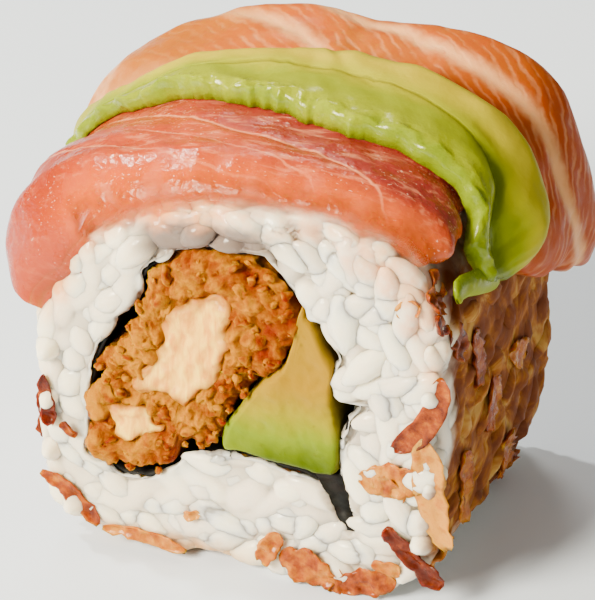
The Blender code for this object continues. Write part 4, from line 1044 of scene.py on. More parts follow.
def ring_rows():
    """The rows of the rice's grid, as (zone, share, depth): front face, side, rear face, hole."""
    face, lip = HALF_DEPTH - FACE_SUNK, HALF_DEPTH - RIM_SUNK
    front = [("front", i / FRONT_STEPS, -face) for i in range(FRONT_STEPS)]
    side = [("side", 1.0, face * (2 * i / SIDE_STEPS - 1)) for i in range(SIDE_STEPS + 1)]
    rear = [("rear", 1 - i / REAR_STEPS, face) for i in range(1, REAR_STEPS + 1)]
    hole = [("hole", 0.0, lip * (1 - 2 * i / HOLE_STEPS)) for i in range(HOLE_STEPS + 1)]
    return front + side + rear + hole + front[:1]


def build_packed_rice(sizes, material):
    """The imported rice: one wrapped grid through the hole and round the log, raised into merged grains."""
    rows = ring_rows()
    shape, places, marks = wrapped_grid(RICE_AROUND, len(rows) - 1, "inside", "tone", "crease")
    outlines, edge = [end_outline(-1.0), end_outline(1.0)], smooth_outline(LIP_PATH, 3)
    hole = offset_outline(smooth_outline(NORI_PATH, 6), HOLE_ROOM)
    angles = [2 * math.pi * i / RICE_AROUND for i in range(RICE_AROUND)]
    outer = [[reach_to(outline, HOLE_CENTRE, a) for a in angles] for outline in outlines]
    inner = [reach_to(hole, HOLE_CENTRE, a) for a in angles]
    lips = [reach_to(edge, HOLE_CENTRE, a) for a in angles]
    for vert, index, row in places:
        index %= RICE_AROUND
        zone, share, depth = rows[row]
        angle = angles[index]
        blend = smooth_step(depth, -HALF_DEPTH, HALF_DEPTH)
        reach = outer[0][index] + (outer[1][index] - outer[0][index]) * blend
        past = max(0.0, abs(depth) - (HALF_DEPTH - FACE_SUNK - RIM_ROUNDING)) / RIM_ROUNDING
        inset = RIM_SUNK + RIM_ROUNDING * (1 - math.sqrt(max(0.0, 1 - past * past))) * 0.8
        near = inner[index]
        if zone in ("front", "rear"):
            near = lips[index] + 0.1 * swirl(3 * math.sin(angle), 3 * math.cos(angle), 0, 0.2, 5.0)
            depth = math.copysign(abs(depth) - 0.45 * (1 - smooth_step(share, 0, 0.1)) ** 2, depth)
        elif abs(depth) > HALF_DEPTH - 2:
            near = max(near, lips[index] + 0.1)
        radius = near + (reach - inset - near) * share
        place = HOLE_CENTRE + heading(angle) * radius
        vert[marks[0]] = 1.0 if zone == "hole" else 0.0
        vert.co = (place.x, depth, max(place.y, 0.05))
    close_up(shape)
    raise_grains(shape, marks, sizes)
    finish_piece("rice_packed", shape, material, ("rice",))


def raise_grains(shape, marks, sizes):
    """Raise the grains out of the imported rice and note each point's tone and how deep it lies."""
    inside, tone, crease = marks
    fronts = [face_field(sizes, -1.0), face_field(sizes, 1.0)]
    sides = side_field(sizes)
    shape.normal_update()
    moves = []
    for vert in shape.verts:
        x, y, z = vert.co
        facing = smooth_step(abs(vert.normal.y), 0.35, 0.8)
        height, shade = 0.0, 0.5
        if facing > 0 and vert[inside] < 0.5:
            crisp = crispness(x, z) if y < 0 else 0.8
            plump = 0.35 + 0.85 * crisp
            top, shade = fronts[0 if y < 0 else 1].read(x, z, plump, 0.04 + 0.08 * (1 - crisp))
            height = facing * (top + 0.35 * crisp)
        if facing < 1 and vert[inside] < 0.5:
            distance = LOG.distance_at(x, z)
            top, side_shade = sides.read(distance, y, 0.8 if x < 0 else 0.6, 0.12)
            height += (1 - facing) * (top + 0.3)
            shade += (side_shade - shade) * (1 - facing)
        vert[tone] = shade
        vert[crease] = clamp(0.35 - height)
        slit = SLIT_DEPTH * (1 - smooth_step(tail_gap(x, z), -0.15, 0.35)) if abs(y) > 13 else 0.0
        moves.append((vert, vert.normal * height - Vector((0, math.copysign(slit, y), 0))))
    for vert, move in moves:
        vert.co += move
    above_floor(shape)


def face_grains(batch, grains, sizes, facing):
    """Whole grains that stand out where the cut is not smeared, clear of the hole and the slices."""
    draw = random.Random(15 if facing < 0 else 16)
    hole, outline = smooth_outline(LIP_PATH, 2), end_outline(facing)

    def room(point, radius):
        tuck = 0.4 if point.y > CENTRE.y else 0.2
        if tail_gap(*point) < radius * 0.7:
            return False
        return clearance(point, hole) > radius - 0.35 and clearance(point, outline) < -radius - tuck and point.y > 0.9

    for spot in spread(draw, ((-24, 0), (24, 44)), 1.95, lambda point: room(point, 0.8), 14000):
        crisp = crispness(*spot) if facing < 0 else 0.8
        radius = sizes.grain_width * draw.uniform(0.38, 0.54)
        length = sizes.grain_length * draw.uniform(0.6, 1.1)
        outward = spot - HOLE_CENTRE
        loose = smooth_step(spot.x, 0, 6) * (1 - smooth_step(spot.y, 33, 36))
        heading = math.atan2(outward.y, outward.x) + math.pi / 2 + draw.gauss(0, 0.3 + 0.7 * loose)
        arm = Vector((math.cos(heading), math.sin(heading))) * (length / 2 - radius * 0.8)
        if not all(room(spot + arm * part, radius * 0.7) for part in (-1, 1)):
            continue
        axes = end_axes(facing, heading) @ Matrix.Rotation(draw.uniform(-0.22, 0.22) * crisp, 3, "Y")
        top = draw.uniform(-1.0, -0.3) + crisp * draw.uniform(0.35, 1.0)
        top -= 0.6 * smooth_step(spot.y, 26, 30) * (1 - smooth_step(-clearance(spot, outline), 1.5, 3.5))
        place = Vector((spot.x, facing * (HALF_DEPTH - 0.75 * radius + top), spot.y))
        batch.add(draw.choice(grains), placed(place, axes, (length, 2 * radius, 1.5 * radius)), draw.random())


def side_grains(batch, grains, sizes):
    """Whole grains that stand out of both sides of the log."""
    draw = random.Random(21)

    def allowed(point):
        return abs(point.x) > covered_to(point.y, point.x) and LOG.frame(point.x)[0].y > 1.5

    for spot in spread(draw, ((LOG.left_end, -15.4), (LOG.right_end, 15.4)), 3.4, allowed, 8000):
        radius = sizes.grain_width * draw.uniform(0.42, 0.52)
        length = sizes.grain_length * draw.uniform(0.75, 1.05)
        axes = LOG.basis(spot.x) @ Matrix.Rotation(draw.uniform(0, math.pi), 3, "Z")
        place = LOG.point(spot.x, spot.y, -radius * draw.uniform(0.9, 1.35))
        if abs(spot.y) > 13.5:
            place = LOG.point(spot.x, math.copysign(14.2, spot.y), -radius * 1.4)
        batch.add(draw.choice(grains), placed(place, axes, (length, 2 * radius, 2 * radius)), draw.random())


def flake_shape(draw, length, width, bow):
    """One fried flake: a thin grid bent in its own plane, with ragged edges, cupped and crumpled."""
    shape = bmesh.new()
    bmesh.ops.create_grid(shape, x_segments=22, y_segments=9, size=0.5)
    seed = draw.uniform(0, 50)
    bend = math.radians(bow)
    crisp = 1 - 0.8 * min(abs(bow) / 50, 1)
    low = doubled(shape)
    for vert in shape.verts:
        t, w = vert.co.x, vert.co.y * 2
        angle = bend * t
        if abs(bend) > 0.01:
            middle = Vector((math.sin(angle), 1 - math.cos(angle), 0.0)) * (length / bend)
        else:
            middle = Vector((length * t, 0.0, 0.0))
        across = Vector((-math.sin(angle), math.cos(angle), 0.0))
        along = t * length
        ragged = 1 + crisp * (0.4 * swirl(along, w * 0.6, seed, 1.7) + 0.24 * swirl(along, w * 0.6, seed, 0.7))
        half = width / 2 * math.sqrt(max(1 - abs(2 * t) ** 4, 0.08)) * ragged
        crumple = crisp * (0.4 * swirl(along, w * half, seed, 1.8) + 0.3 * swirl(along, w * half, seed, 0.8))
        curl = 0.02 * length * t * t + 0.34 * (w * w - 0.4)
        side = (-0.4 if vert in low else 0.2) * math.sqrt(max(1 - w * w, 0.0)) * math.sqrt(max(1 - 4 * t * t, 0.0))
        vert.co = middle + across * (w * half) + Vector((0, 0, crumple + curl + side))
    close_up(shape)
    return shape


def add_flake(batch, draw, row, place, axes):
    """Lay a flake, given by a row of its table, at a place on the rice."""
    _, _, _, length, width, bow, tone = row
    template = template_mesh(flake_shape(draw, length, width, bow))
    batch.add(template, Matrix.Translation(place) @ axes.to_4x4(), tone)
    bpy.data.meshes.remove(template)


def slice_grid(rows, columns, place):
    """A draped slice: a grid, closer at its edges, copied below itself and closed round its edge.

    place(u, v, side) gives the point at u along the slice and v across it, side 1 on top.
    """
    shape = bmesh.new()
    bmesh.ops.create_grid(shape, x_segments=rows, y_segments=columns, size=0.5)
    along, across = new_marks(shape, "u", "v")
    for vert in shape.verts:
        for layer, value in ((along, vert.co.x + 0.5), (across, vert.co.y + 0.5)):
            vert[layer] = value - GRID_CROWDING * math.sin(4 * math.pi * value)
    low = doubled(shape)
    for vert in shape.verts:
        vert.co = place(vert[along], vert[across], 0 if vert in low else 1)
    bmesh.ops.recalc_face_normals(shape, faces=shape.faces[:])
    return shape, along, across


def drape(distance, depth):
    """The height of an outer slice's underside above the log: it hangs down over the rims."""
    droop = DROOP_LEFT + (DROOP_RIGHT - DROOP_LEFT) * smooth_step(distance, -8, 3)
    if depth > 0:
        droop = DROOP_REAR
    past = max(abs(depth) - DROOP_START, 0.0) / DROOP_RUN
    return SLICE_REST - droop * past * past


def bulge(v, start, end, sharpness):
    """Thickness across a slice, 1 in the middle, falling to start and end at its two edges."""
    across = 2 * v - 1
    edge = start if across < 0 else end
    return edge + (1 - edge) * math.sqrt(max(0.0, 1 - abs(across) ** sharpness))


def film(v):
    """Thickness across the tuna, which thins to a film where it hangs over the cut."""
    return 0.06 + 0.34 * smooth_step(v, 0.0, 0.12) + 0.6 * smooth_step(v, 0.06, 0.32)


def leftness(distance):
    """0 on top of the log, 1 well down its left side, where the slices are thinner."""
    return smooth_step(-distance, 8, 20)


def seam(distance):
    """The line under the avocado where tuna and salmon meet."""
    return (between(AVOCADO_FRONT, distance) + between(AVOCADO_REAR, distance)) / 2


def tuna_span(distance):
    """The depths of the tuna's front and rear edges."""
    wobble = 0.45 * swirl(distance, 0, 0, 5.0, 2.0) + 0.2 * swirl(distance, 0, 0, 2.0, 5.0)
    return between(TUNA_FRONT, distance) + wobble * 0.5, seam(distance) - 0.1


def salmon_span(distance):
    """The depths of the salmon's front and rear edges."""
    wobble = 0.2 * swirl(distance, 0, 0, 4.0, 9.0)
    return seam(distance) + 0.1, SALMON_REAR - 0.2 + wobble


def fish_place(ends, span, u, v):
    """The distance and depth at u along a slice of fish and v across it."""
    front, rear = span(0.0)
    rough = front + (rear - front) * v
    left, right = (between(knots, rough) + height * swirl(place, rough, 0, size, seed)
                   for knots, height, place, size, seed in ends)
    distance = left + (right - left) * u
    front, rear = span(distance)
    return distance, front + (rear - front) * v


def fish_points(shape, along, ends):
    """Each point of a slice of fish, with its distance, its depth and the distances of the slice's ends there."""
    for vert in shape.verts:
        left, right = (between(knots, vert.co.y) for knots, *_ in ends)
        yield vert, left + (right - left) * vert[along], vert.co.y, left, right


def tuna_lift(distance, depth, side):
    """Height of the tuna's upper (side 1) or lower (side 0) face above the log."""
    front, rear = tuna_span(distance)
    v = clamp((depth - front) / (rear - front))
    flare = 1.1 * smooth_step(-distance, 22, 29) * (1 - smooth_step(v, 0.5, 0.9))
    seam_thickness = 2.9 - 0.9 * leftness(distance)
    thickness = 3.0 + 1.2 * hump(distance, -20.5, 6.0)
    thickness += (seam_thickness - thickness) * smooth_step(v, 0.45, 0.8)
    waves = 0.30 - 0.2 * smooth_step(distance, 2, 10)
    relief = waves * swirl(distance, depth, 0, 5.5, 3.0) + 0.12 * swirl(distance, depth, 0, 2.0, 7.0)
    for knots, groove in zip(TUNA_VEINS, (0.16, 0.1, 0.06)):
        relief -= groove * hump(depth, straight_between(knots, distance), 0.45)
    top = thickness * film(v) + relief * smooth_step(v, 0.0, 0.15)
    return drape(distance, depth) + flare + side * top


def salmon_lift(distance, depth, side):
    """Height of the salmon's upper (side 1) or lower (side 0) face above the log."""
    front, rear = salmon_span(distance)
    v = clamp((depth - front) / (rear - front))
    flare = 0.4 * smooth_step(distance, 22, 32)
    seam_thickness = 2.9 - 0.9 * leftness(distance)
    thickness = seam_thickness + (3.9 - seam_thickness) * smooth_step(v, 0.0, 0.6)
    ridge = 1.9 * hump(distance, 15.0, 6.5) + 1.0 * hump(distance, -6.0, 8.0)
    thickness += ridge * smooth_step(v, 0.45, 1.0)
    relief = 0.26 * swirl(distance, depth, 0, 5.0, 13.0) + 0.10 * swirl(distance, depth, 0, 1.8, 17.0)
    for knots in SALMON_STRIPES[:2]:
        relief -= 0.22 * hump(depth, straight_between(knots, distance), 0.8)
    return drape(distance, depth) + flare + side * (thickness * bulge(v, 1.0, 0.8, 14) + relief)


def avocado_bed(distance, depth):
    """The height that the avocado lies at: over the tuna in front, the salmon behind, and the log past their ends."""
    over_tuna = tuna_lift(min(distance, 17.0), depth, 1)
    over_tuna += (0.7 - over_tuna) * smooth_step(distance, 16.5, 22.5)
    over_salmon = salmon_lift(min(distance, 23.0), depth, 1)
    over_salmon += (0.9 - over_salmon) * smooth_step(distance, 22.5, 28.0)
    wide = 1.2 + 1.8 * smooth_step(distance, 10, 20)
    return over_tuna + (over_salmon - over_tuna) * smooth_step(depth - seam(distance), -wide, wide)


class RollSizes(bpy.types.PropertyGroup):
    """Sizes that change the roll's small pieces, in millimetres."""

    grain_length: bpy.props.FloatProperty(
        name="Grain length", description="Length of a cooked grain of rice in millimetres", default=6.2, min=4, max=8)
    grain_width: bpy.props.FloatProperty(
        name="Grain width", description="Width of a cooked grain of rice in millimetres", default=3.0, min=2, max=4)
    crumb_size: bpy.props.FloatProperty(
        name="Crumb size", description="Width of the larger fried crumbs in millimetres", default=1.5, min=0.8, max=3)
    crumb_relief: bpy.props.FloatProperty(
        name="Crust relief", description="Height of the crust's lumps in millimetres", default=0.75, min=0.1, max=1.5)


def colour(name, description, red, green, blue):
    """A colour setting, whose default is given as it looks on screen."""
    return bpy.props.FloatVectorProperty(
        name=name, description=description, subtype="COLOR", size=3, min=0.0, max=1.0, default=paint(red, green, blue))


class RollColours(bpy.types.PropertyGroup):
    """Colours of the roll and its stage."""

    rice_white: colour("Rice", "Bright grains", 0.96, 0.92, 0.82)
    rice_cool: colour("Rice, cool", "Clearer grains", 0.90, 0.85, 0.77)
    rice_warm: colour("Rice, warm", "Creamy patches", 0.94, 0.88, 0.76)
    # Painted shade for the creases between the grains.
    rice_shade: colour("Rice, inner", "Clearer rice deep between the grains", 0.63, 0.59, 0.54)
    # Painted shade at the top of the ring, where the rice is also clearer.
    rice_inner: colour("Rice, top of the ring", "Clear rice over the filling", 0.37, 0.30, 0.28)
    rice_fish_tint: colour("Rice under fish", "Rice that shows through the tuna's edge", 0.92, 0.54, 0.2)
    # Real stains on the side, and also painted shadow in the gap beside the tuna's right end.
    rice_stain: colour("Rice, stained", "Rice browned by oil and sauce", 0.34, 0.13, 0.0)
    nori: colour("Seaweed", "Near-black green", 0.02, 0.022, 0.018)
    nori_brown: colour("Seaweed, brown", "Brown patches of the seaweed", 0.075, 0.035, 0.02)
    # Also painted light on the lumps' tops.
    crust_bright: colour("Crust, bright", "Yellow-orange crumbs", 0.62, 0.4, 0.0)
    crust_mid: colour("Crust", "Orange crumbs", 0.49, 0.245, 0.0)
    # Painted shade in the creases, and crumbs darker at random.
    crust_deep_and_shade: colour("Crust, deep", "Crumbs in the creases", 0.42, 0.11, 0.0)
    crust_brown: colour("Crust, brown", "Crumbs fried darker", 0.38, 0.055, 0.0)
    # Painted highlights on the lumps' tops.
    crust_tip: colour("Crust, tips", "Pale tips of crumbs", 0.7, 0.46, 0.0)
    meat_pale: colour("Meat", "Pale cooked meat", 0.98, 0.80, 0.32)
    meat_pink: colour("Meat, pink", "Fibres of the meat", 0.88, 0.60, 0.20)
    meat_rim: colour("Meat, rim", "Meat stained by the crust", 0.62, 0.36, 0.0)
    # Green next to the skin in the wedge, and painted shade in the avocado slice's groove.
    avocado_deep: colour("Avocado, deep", "Green next to the skin", 0.23, 0.30, 0.0)
    avocado_green: colour("Avocado, green", "Outer flesh", 0.42, 0.49, 0.0)
    avocado_lime: colour("Avocado, lime", "Bright flesh", 0.50, 0.54, 0.0)
    avocado_yellow: colour("Avocado, yellow", "Inner flesh", 0.62, 0.60, 0.0)
    avocado_cream: colour("Avocado, cream", "Innermost flesh", 0.68, 0.61, 0.04)
    avocado_olive: colour("Avocado, olive", "Rear edge of the slice", 0.60, 0.56, 0.10)
    avocado_edge: colour("Avocado, edge", "Darkened edges and marks", 0.30, 0.25, 0.02)
    tuna_coral: colour("Tuna", "Coral flesh", 0.66, 0.23, 0.03)
    tuna_pink: colour("Tuna, pink", "Paler flesh", 0.71, 0.29, 0.13)
    tuna_rose: colour("Tuna, rose", "Flesh towards the right", 0.53, 0.17, 0.11)
    # Deeper red flesh, and painted shade under the avocado's front edge.
    tuna_red: colour("Tuna, red", "Darker band at the rear", 0.50, 0.14, 0.12)
    tuna_deep: colour("Tuna, deep", "Flesh at the left end", 0.55, 0.16, 0.03)
    tuna_pale: colour("Tuna, veins", "Pale veins", 0.90, 0.58, 0.42)
    # Painted highlights on the wet flesh.
    tuna_glint: colour("Tuna, glints", "Specks of wet fat", 0.99, 0.84, 0.72)
    tuna_edge: colour("Tuna, edge", "Thin front edge", 0.76, 0.32, 0.0)
    salmon_orange: colour("Salmon", "Orange flesh", 0.68, 0.31, 0.0)
    salmon_light: colour("Salmon, light", "Paler flesh", 0.69, 0.36, 0.0)
    salmon_deep: colour("Salmon, deep", "Flesh towards the right", 0.56, 0.18, 0.0)
    salmon_gold: colour("Salmon, gold", "Flesh at the left", 0.60, 0.34, 0.0)
    salmon_fat: colour("Salmon, fat", "Stripes of fat", 0.88, 0.64, 0.42)
    rice_syrup: colour("Rice, syrup", "Golden stain along the bottom", 0.72, 0.47, 0.08)
    rice_beige: colour("Rice, beige", "Soaked grains on the side", 0.66, 0.48, 0.2)
    rice_brown: colour("Rice, brown", "Rice and onion browned together", 0.40, 0.18, 0.0)
    rice_gold: colour("Rice, golden", "Rice and onion soaked with oil", 0.52, 0.28, 0.0)
    wedge_yellow: colour("Filling, yellow", "Inner flesh of the avocado wedge", 0.54, 0.50, 0.0)
    wedge_cream: colour("Filling, cream", "Top of the avocado wedge", 0.57, 0.43, 0.0)
    flake_pale: colour("Flake, pale", "Palest fried onion", 0.74, 0.50, 0.15)
    flake_gold: colour("Flake, gold", "Golden fried onion", 0.66, 0.37, 0.02)
    flake_orange: colour("Flake, orange", "Orange fried onion", 0.52, 0.21, 0.0)
    flake_brown: colour("Flake, brown", "Brown fried onion", 0.33, 0.09, 0.0)
    flake_dark: colour("Flake, dark", "Dark red fried onion", 0.25, 0.04, 0.0)
    floor: colour("Floor", "Pale floor", 0.88, 0.93, 1.0)
    floor_shade: colour("Floor, shade", "Slight drift in the floor's colour", 0.85, 0.90, 0.97)


class PieceOperator(bpy.types.Operator):
    """Shared settings of the operators that make the roll."""

    bl_options = {"REGISTER", "UNDO"}


class ROLL_OT_rice(PieceOperator):
    """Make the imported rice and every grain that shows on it"""

    bl_idname = "roll.rice"
    bl_label = "Rice"

    def execute(self, context):
        sizes = context.scene.roll_sizes
        material = rice_finish(context.scene.roll_colours)
        build_packed_rice(sizes, material)
        grains = grain_templates(random.Random(5), 6)
        for name in ("front", "rear", "sides"):
            batch = Batch("tone", "crease")
            if name == "sides":
                side_grains(batch, grains, sizes)
            else:
                face_grains(batch, grains, sizes, -1.0 if name == "front" else 1.0)
            above_floor(batch.shape)
            finish_piece("rice_grains_" + name, batch.shape, material)
        drop_meshes(grains)
        return {"FINISHED"}


class ROLL_OT_flakes(PieceOperator):
    """Make the fried onion flakes on the cut face, the sides and the rear end"""

    bl_idname = "roll.flakes"
    bl_label = "Fried onion"

    def execute(self, context):
        draw = random.Random(31)
        batch = Batch("tone")
        for facing, rows in ((-1.0, FACE_FLAKES), (1.0, REAR_FLAKES)):
            for row in rows:
                axes = end_axes(facing, math.radians(row[2]))
                add_flake(batch, draw, row, Vector((row[0], facing * (HALF_DEPTH - 0.1), row[1])), axes)
        for row in RIGHT_FLAKES + LEFT_FLAKES:
            axes = LOG.basis(row[0]) @ Matrix.Rotation(math.radians(90 - row[2]), 3, "Z")
            add_flake(batch, draw, row, LOG.point(row[0], row[1], -0.4), axes)
        above_floor(batch.shape)
        finish_piece("onion_flakes", batch.shape, flake_finish(context.scene.roll_colours))
        return {"FINISHED"}


class ROLL_OT_nori(PieceOperator):
    """Make the band of seaweed and the tail where the sheet's ends are pressed together"""

    bl_idname = "roll.nori"
    bl_label = "Seaweed"

    def execute(self, context):
        material = nori_finish(context.scene.roll_colours)
        self.add_band(material)
        self.add_tail(material)
        return {"FINISHED"}

    def add_band(self, material):
        """The band flares out to the rice's edge where it shows at the ends."""
        middle = smooth_outline(NORI_PATH, 14)
        count = len(middle)
        outer, inner = offset_outline(middle, SHEET_HALF), offset_outline(middle, -SHEET_HALF)
        edge = smooth_outline(LIP_PATH, 3)
        flare = []
        for point in middle:
            outward = point - HOLE_CENTRE
            reach = reach_to(edge, HOLE_CENTRE, math.atan2(outward.x, outward.y))
            flare.append(outward.normalized() * max(reach - 0.1 - outward.length, 0.0))
        steps = 24
        shape, places, _ = wrapped_grid(count, 2 * steps)
        for vert, index, row in places:
            index %= count
            row %= 2 * steps
            outside = row < steps
            share = row / (steps - 1) if outside else (2 * steps - 1 - row) / (steps - 1)
            place = outer[index] if outside else inner[index]
            ragged = 0.3 * swirl(place.x, place.y, 0, 2.0) + 0.15 * swirl(place.x, place.y, 0, 0.8)
            depth = (2 * share - 1) * (BAND_HALF + ragged)
            place = place + flare[index] * smooth_step(abs(depth), *FLARE_RUN)
            vert.co = (place.x, depth, place.y)
        close_up(shape)
        push_out(shape, lambda vert: 0.08 * swirl(*vert.co, 1.6))
        finish_piece("nori_band", shape, material, ("nori",))

    def add_tail(self, material):
        tail = bmesh.new()
        bmesh.ops.create_grid(tail, x_segments=24, y_segments=2, size=0.5)
        low = doubled(tail)
        for vert in tail.verts:
            share = vert.co.x + 0.5
            place = along_path(TAIL_PATH, share)
            width = straight_between(TAIL_WIDTH, share) + 0.35
            end = -TAIL_HALF if vert in low else TAIL_HALF
            vert.co = (place.x + vert.co.y * 2 * width, end + 0.3 * swirl(place.x, 3, place.y, 1.2), place.y)
        bmesh.ops.recalc_face_normals(tail, faces=tail.faces[:])
        finish_piece("nori_tail", tail, material)


class ROLL_OT_crust(PieceOperator):
    """Make the cutlet's crumb coating and the loose crumbs that stand up from it"""

    bl_idname = "roll.crust"
    bl_label = "Crumb coating"

    def execute(self, context):
        sizes, colours = context.scene.roll_sizes, context.scene.roll_colours
        outline = offset_outline(smooth_outline(COATING_PATH, 3), -0.15)
        cores = [smooth_outline(CORE_LARGE_PATH, 2), smooth_outline(CORE_SMALL_PATH, 3)]
        shape = through_piece(outline, COATING_CENTRE, FILLING_HALF, around=330, face_steps=60, side_steps=20,
                              rounding=1.6)
        height, tone = new_marks(shape, "height", "tone")
        for vert in shape.verts:
            x, y, z = vert.co + 0.5 * Vector([swirl(*vert.co, 1.3, seed) for seed in (1, 2, 3)])
            vert[height] = sum(share * lumps(x, y, z, size, size)
                               for size, share in ((3.8, 0.44), (1.7, 0.26), (0.8, 0.18), (0.45, 0.12)))
            vert[tone] = 0.5 + 0.45 * swirl(*vert.co, 2.4, 2.0)

        def stand_out(vert):
            lump = sizes.crumb_relief * (vert[height] * 3.2 - 1.6)
            if abs(vert.co.y) < 13.5:
                return min(lump, 0.2)
            point = Vector((vert.co.x, vert.co.z))
            clear = min(clearance(point, core) for core in cores) + 0.7 * swirl(*vert.co, 1.0, 6.0)
            return (lump + 0.7) * smooth_step(clear, -0.9, 0.4) - 0.7

        push_out(shape, stand_out)
        material = crust_finish(colours)
        finish_piece("crumb_crust", shape, material, ("crumb_coating",))
        self.add_crumbs(sizes, material)
        return {"FINISHED"}

    def add_crumbs(self, sizes, material):
        draw = random.Random(41)
        crumbs = crumb_templates(7)
        band = smooth_outline(LIP_PATH, 2)
        wedge = smooth_outline(WEDGE_PATH, 3)
        cores = [smooth_outline(CORE_LARGE_PATH, 3), smooth_outline(CORE_SMALL_PATH, 3)]
        outline = smooth_outline(COATING_PATH, 2)
        batch = Batch("tone", "height")
        for facing in (-1, 1):
            for size, spacing, throws in ((1.0, 2.4, 1500), (0.55, 1.5, 3000)):
                width = sizes.crumb_size * size

                def allowed(point):
                    room = min(-clearance(point, band), clearance(point, wedge),
                               clearance(point, cores[0]) - 0.3, clearance(point, cores[1]) - 0.3)
                    return room > width * 0.5 and clearance(point, outline) < 0.2

                for spot in spread(draw, ((-17, 8), (8, 37)), spacing, allowed, throws):
                    turn = Matrix.Rotation(draw.uniform(0, 6.28), 3, Vector((draw.random(), draw.random(), 1)))
                    scale = [width * draw.uniform(0.6, 1.5) for _ in range(3)]
                    place = Vector((spot.x, facing * (15.5 + draw.uniform(0.0, 0.4)), spot.y))
                    batch.add(draw.choice(crumbs), placed(place, turn, scale), draw.random())
        finish_piece("crumbs", batch.shape, material)
        drop_meshes(crumbs)


class ROLL_OT_meat(PieceOperator):
    """Make the two pale pieces of meat that show in the crust"""

    bl_idname = "roll.meat"
    bl_label = "Meat"

    def execute(self, context):
        material = meat_finish(context.scene.roll_colours)
        for name, node, path, centre, rounding in CORES:
            shape = through_piece(smooth_outline(path, 6), centre, HALF_DEPTH, around=140, face_steps=26,
                                  side_steps=16, rounding=rounding)
            rim = shape.verts.layers.float["rim"]

            def height(vert):
                x, y, z = vert.co
                along, across = x * 0.55 + z * 0.83, x * 0.83 - z * 0.55
                fibre = 0.16 * swirl(along * 0.25, y * 0.4, across, 0.8)
                fibre += 0.22 * swirl(along * 0.4, y * 0.3, across, 2.2)
                return fibre + (0.12 + 0.3 * vert[rim]) * swirl(x, y, z, 1.2, 4.0)

            push_out(shape, height)
            finish_piece(name, shape, material, (node,))
        return {"FINISHED"}


class ROLL_OT_wedge(PieceOperator):
    """Make the wedge of avocado beside the cutlet"""

    bl_idname = "roll.wedge"
    bl_label = "Avocado filling"

    def execute(self, context):
        outline = smooth_outline(WEDGE_PATH, 5)
        shape = through_piece(outline, WEDGE_CENTRE, FILLING_HALF, around=220, face_steps=36, side_steps=20,
                              rounding=0.7)
        push_out(shape, lambda vert: 0.16 * swirl(*vert.co, 2.6, 3.0) + 0.07 * swirl(*vert.co, 0.9, 7.0))
        finish_piece("avocado_wedge", shape, wedge_finish(context.scene.roll_colours), ("avocado_filling",))
        return {"FINISHED"}


class ROLL_OT_tuna(PieceOperator):
    """Make the slice of tuna over the front half"""

    bl_idname = "roll.tuna"
    bl_label = "Tuna slice"

    def execute(self, context):
        def place(u, v, side):
            distance, depth = fish_place(TUNA_ENDS, tuna_span, u, v)
            low, high = tuna_lift(distance, depth, 0), tuna_lift(distance, depth, 1)
            lift = low + side * (high - low) * bulge(u, 0.55, 0.4, 16)
            tuck = 1 - smooth_step(v, 0.0, 0.07)
            return LOG.point(distance, depth + 1.3 * tuck, lift - 0.5 * tuck)

        shape, along, across = slice_grid(150, 64, place)
        reach, edge, film_edge, *veins = new_marks(shape, "reach", "edge", "front", "vein_0", "vein_1", "vein_2")
        for vert, distance, depth, left, right in fish_points(shape, along, TUNA_ENDS):
            front, rear = tuna_span(distance)
            from_front = (rear - front) * vert[across]
            vert[reach], vert[film_edge] = distance, from_front
            vert[edge] = min(from_front, (distance - left) * 1.2 + 1.5, (right - distance) * 2 + 2.5)
            for vein, knots in zip(veins, TUNA_VEINS):
                vert[vein] = depth - straight_between(knots, distance)
        finish_piece("tuna", shape, tuna_finish(context.scene.roll_colours), ("tuna_slice",))
        return {"FINISHED"}


class ROLL_OT_salmon(PieceOperator):
    """Make the slice of salmon over the rear half"""

    bl_idname = "roll.salmon"
    bl_label = "Salmon slice"

    def execute(self, context):
        def place(u, v, side):
            distance, depth = fish_place(SALMON_ENDS, salmon_span, u, v)
            low, high = salmon_lift(distance, depth, 0), salmon_lift(distance, depth, 1)
            return LOG.point(distance, depth, low + side * (high - low) * bulge(u, 0.3, 0.35, 14))

        shape, along, _ = slice_grid(170, 60, place)
        names = ("stripe_0", "stripe_1", "stripe_2", "stripe_3")
        reach, deep, *stripes = new_marks(shape, "reach", "depth", *names)
        for vert, distance, depth, _, _ in fish_points(shape, along, SALMON_ENDS):
            vert[reach], vert[deep] = distance, depth
            for stripe, knots in zip(stripes, SALMON_STRIPES):
                vert[stripe] = depth - straight_between(knots, distance)
        finish_piece("salmon", shape, salmon_finish(context.scene.roll_colours), ("salmon_slice",))
        return {"FINISHED"}


